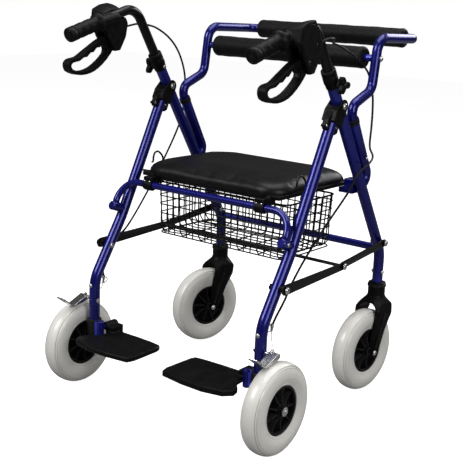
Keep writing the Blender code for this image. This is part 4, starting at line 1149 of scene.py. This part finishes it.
def build_stage():
    """A pale floor, four soft lights and a white surround."""
    mesh = bpy.data.meshes.new("floor")
    corners = [(x, y, 0) for x, y in ((-1, -1), (1, -1), (1, 1), (-1, 1))]
    mesh.from_pydata([FLOOR_REACH * Vector(corner) for corner in corners], [], [(0, 1, 2, 3)])
    floor = placed("floor", mesh)
    look = Look("studio_floor", Roughness=0.6, Specular_IOR_Level=0.2)
    # Seen directly the floor is near white; to the object it is a grey that lifts its blacks less.
    seen = look.ramp(look.noise(3, 2), (0.3, 0.62), (0.7, 0.64))
    bounced = look.ramp(look.noise(3, 2), (0.3, 0.18), (0.7, 0.2))
    tone = look.mix(bounced, seen, 0.5)
    rays = look.add("ShaderNodeLightPath").outputs["Is Camera Ray"]
    look.link(rays, tone.node.inputs["Factor"])
    look.drive(tone)
    look.set("Emission Color", WHITE)
    glow = look.add("ShaderNodeMath")
    glow.operation = "MULTIPLY"
    glow.inputs[1].default_value = 0.92
    look.link(rays, glow.inputs[0])
    look.drive(glow.outputs["Value"], "Emission Strength")
    mesh.materials.append(look.material)

    area("key", (-1.1, -2.6, 2.6), (0, 0, 0.45), (1.6, 1.6), 75)
    area("fill", (2.9, -1.2, 1.7), (0, 0, 0.4), (1.8, 1.8), 42)
    area("top", (0.1, 0.3, 3.1), (0, 0, 0.3), (2.4, 2.4), 60)
    area("rim", (0.6, 3.0, 2.2), (0, 0, 0.5), (2.2, 1.2), 45)

    world = bpy.data.worlds.new("studio")
    world.use_nodes = True
    nodes, links = world.node_tree.nodes, world.node_tree.links
    mix = nodes.new("ShaderNodeMixShader")
    links.new(nodes.new("ShaderNodeLightPath").outputs["Is Camera Ray"], mix.inputs["Fac"])
    # The surround is dim to the object and white to the eye.
    surrounds = (nodes["Background"], 1, 0.07), (nodes.new("ShaderNodeBackground"), 2, 1.0)
    for background, slot, strength in surrounds:
        background.inputs["Color"].default_value = WHITE
        background.inputs["Strength"].default_value = strength
        links.new(background.outputs["Background"], mix.inputs[slot])
    links.new(mix.outputs["Shader"], nodes["World Output"].inputs["Surface"])
    scene = bpy.context.scene
    scene.world = world
    scene.view_settings.view_transform = "Standard"
    scene.view_settings.look = "None"


def build_camera():
    """The photograph's view: it stands to the front right, a little above, rolled slightly."""
    azimuth, elevation, roll = radians(37.46), radians(13.81), radians(2.35)
    distance, target = 2.325, Vector((-0.0363, SHIFT, 0.3728))
    level = Vector((sin(azimuth), -cos(azimuth), 0)) * cos(elevation)
    back = level + Vector((0, 0, sin(elevation)))
    right = (-back).cross(Vector((0, 0, 1))).normalized()
    up = right.cross(-back)
    x_axis = right * cos(roll) + up * sin(roll)
    y_axis = up * cos(roll) - right * sin(roll)
    data = bpy.data.cameras.new("camera")
    data.lens = FOCAL_LENGTH
    camera = placed("camera", data)
    turn = Matrix((x_axis, y_axis, back)).transposed().to_4x4()
    camera.matrix_world = Matrix.Translation(target + back * distance) @ turn
    bpy.context.scene.camera = camera


SIDE_BUILDERS = [build_side_tubes, build_front_wheels, build_castors, build_cable]
SIDE_BUILDERS += [build_handle_parts, build_fittings, build_frame_details]
for side, sign in SIDES.items():
    for build in SIDE_BUILDERS:
        build(side, sign)
moulded("seat_base", "seat", 0.0016, 5)
build_hoops()
build_roll("back_roll_foam", BACK_ROLL, 0.025, 0.0084, "back_roll")
build_roll("push_bar_foam", PUSH_BAR, 0.023, 0.0114, "push_bar_roll")
build_seat_pad()
build_basket()
build_hooks()
build_seat_details()
dress_cad_nodes()
build_stage()
build_camera()

bpy.context.view_layer.update()
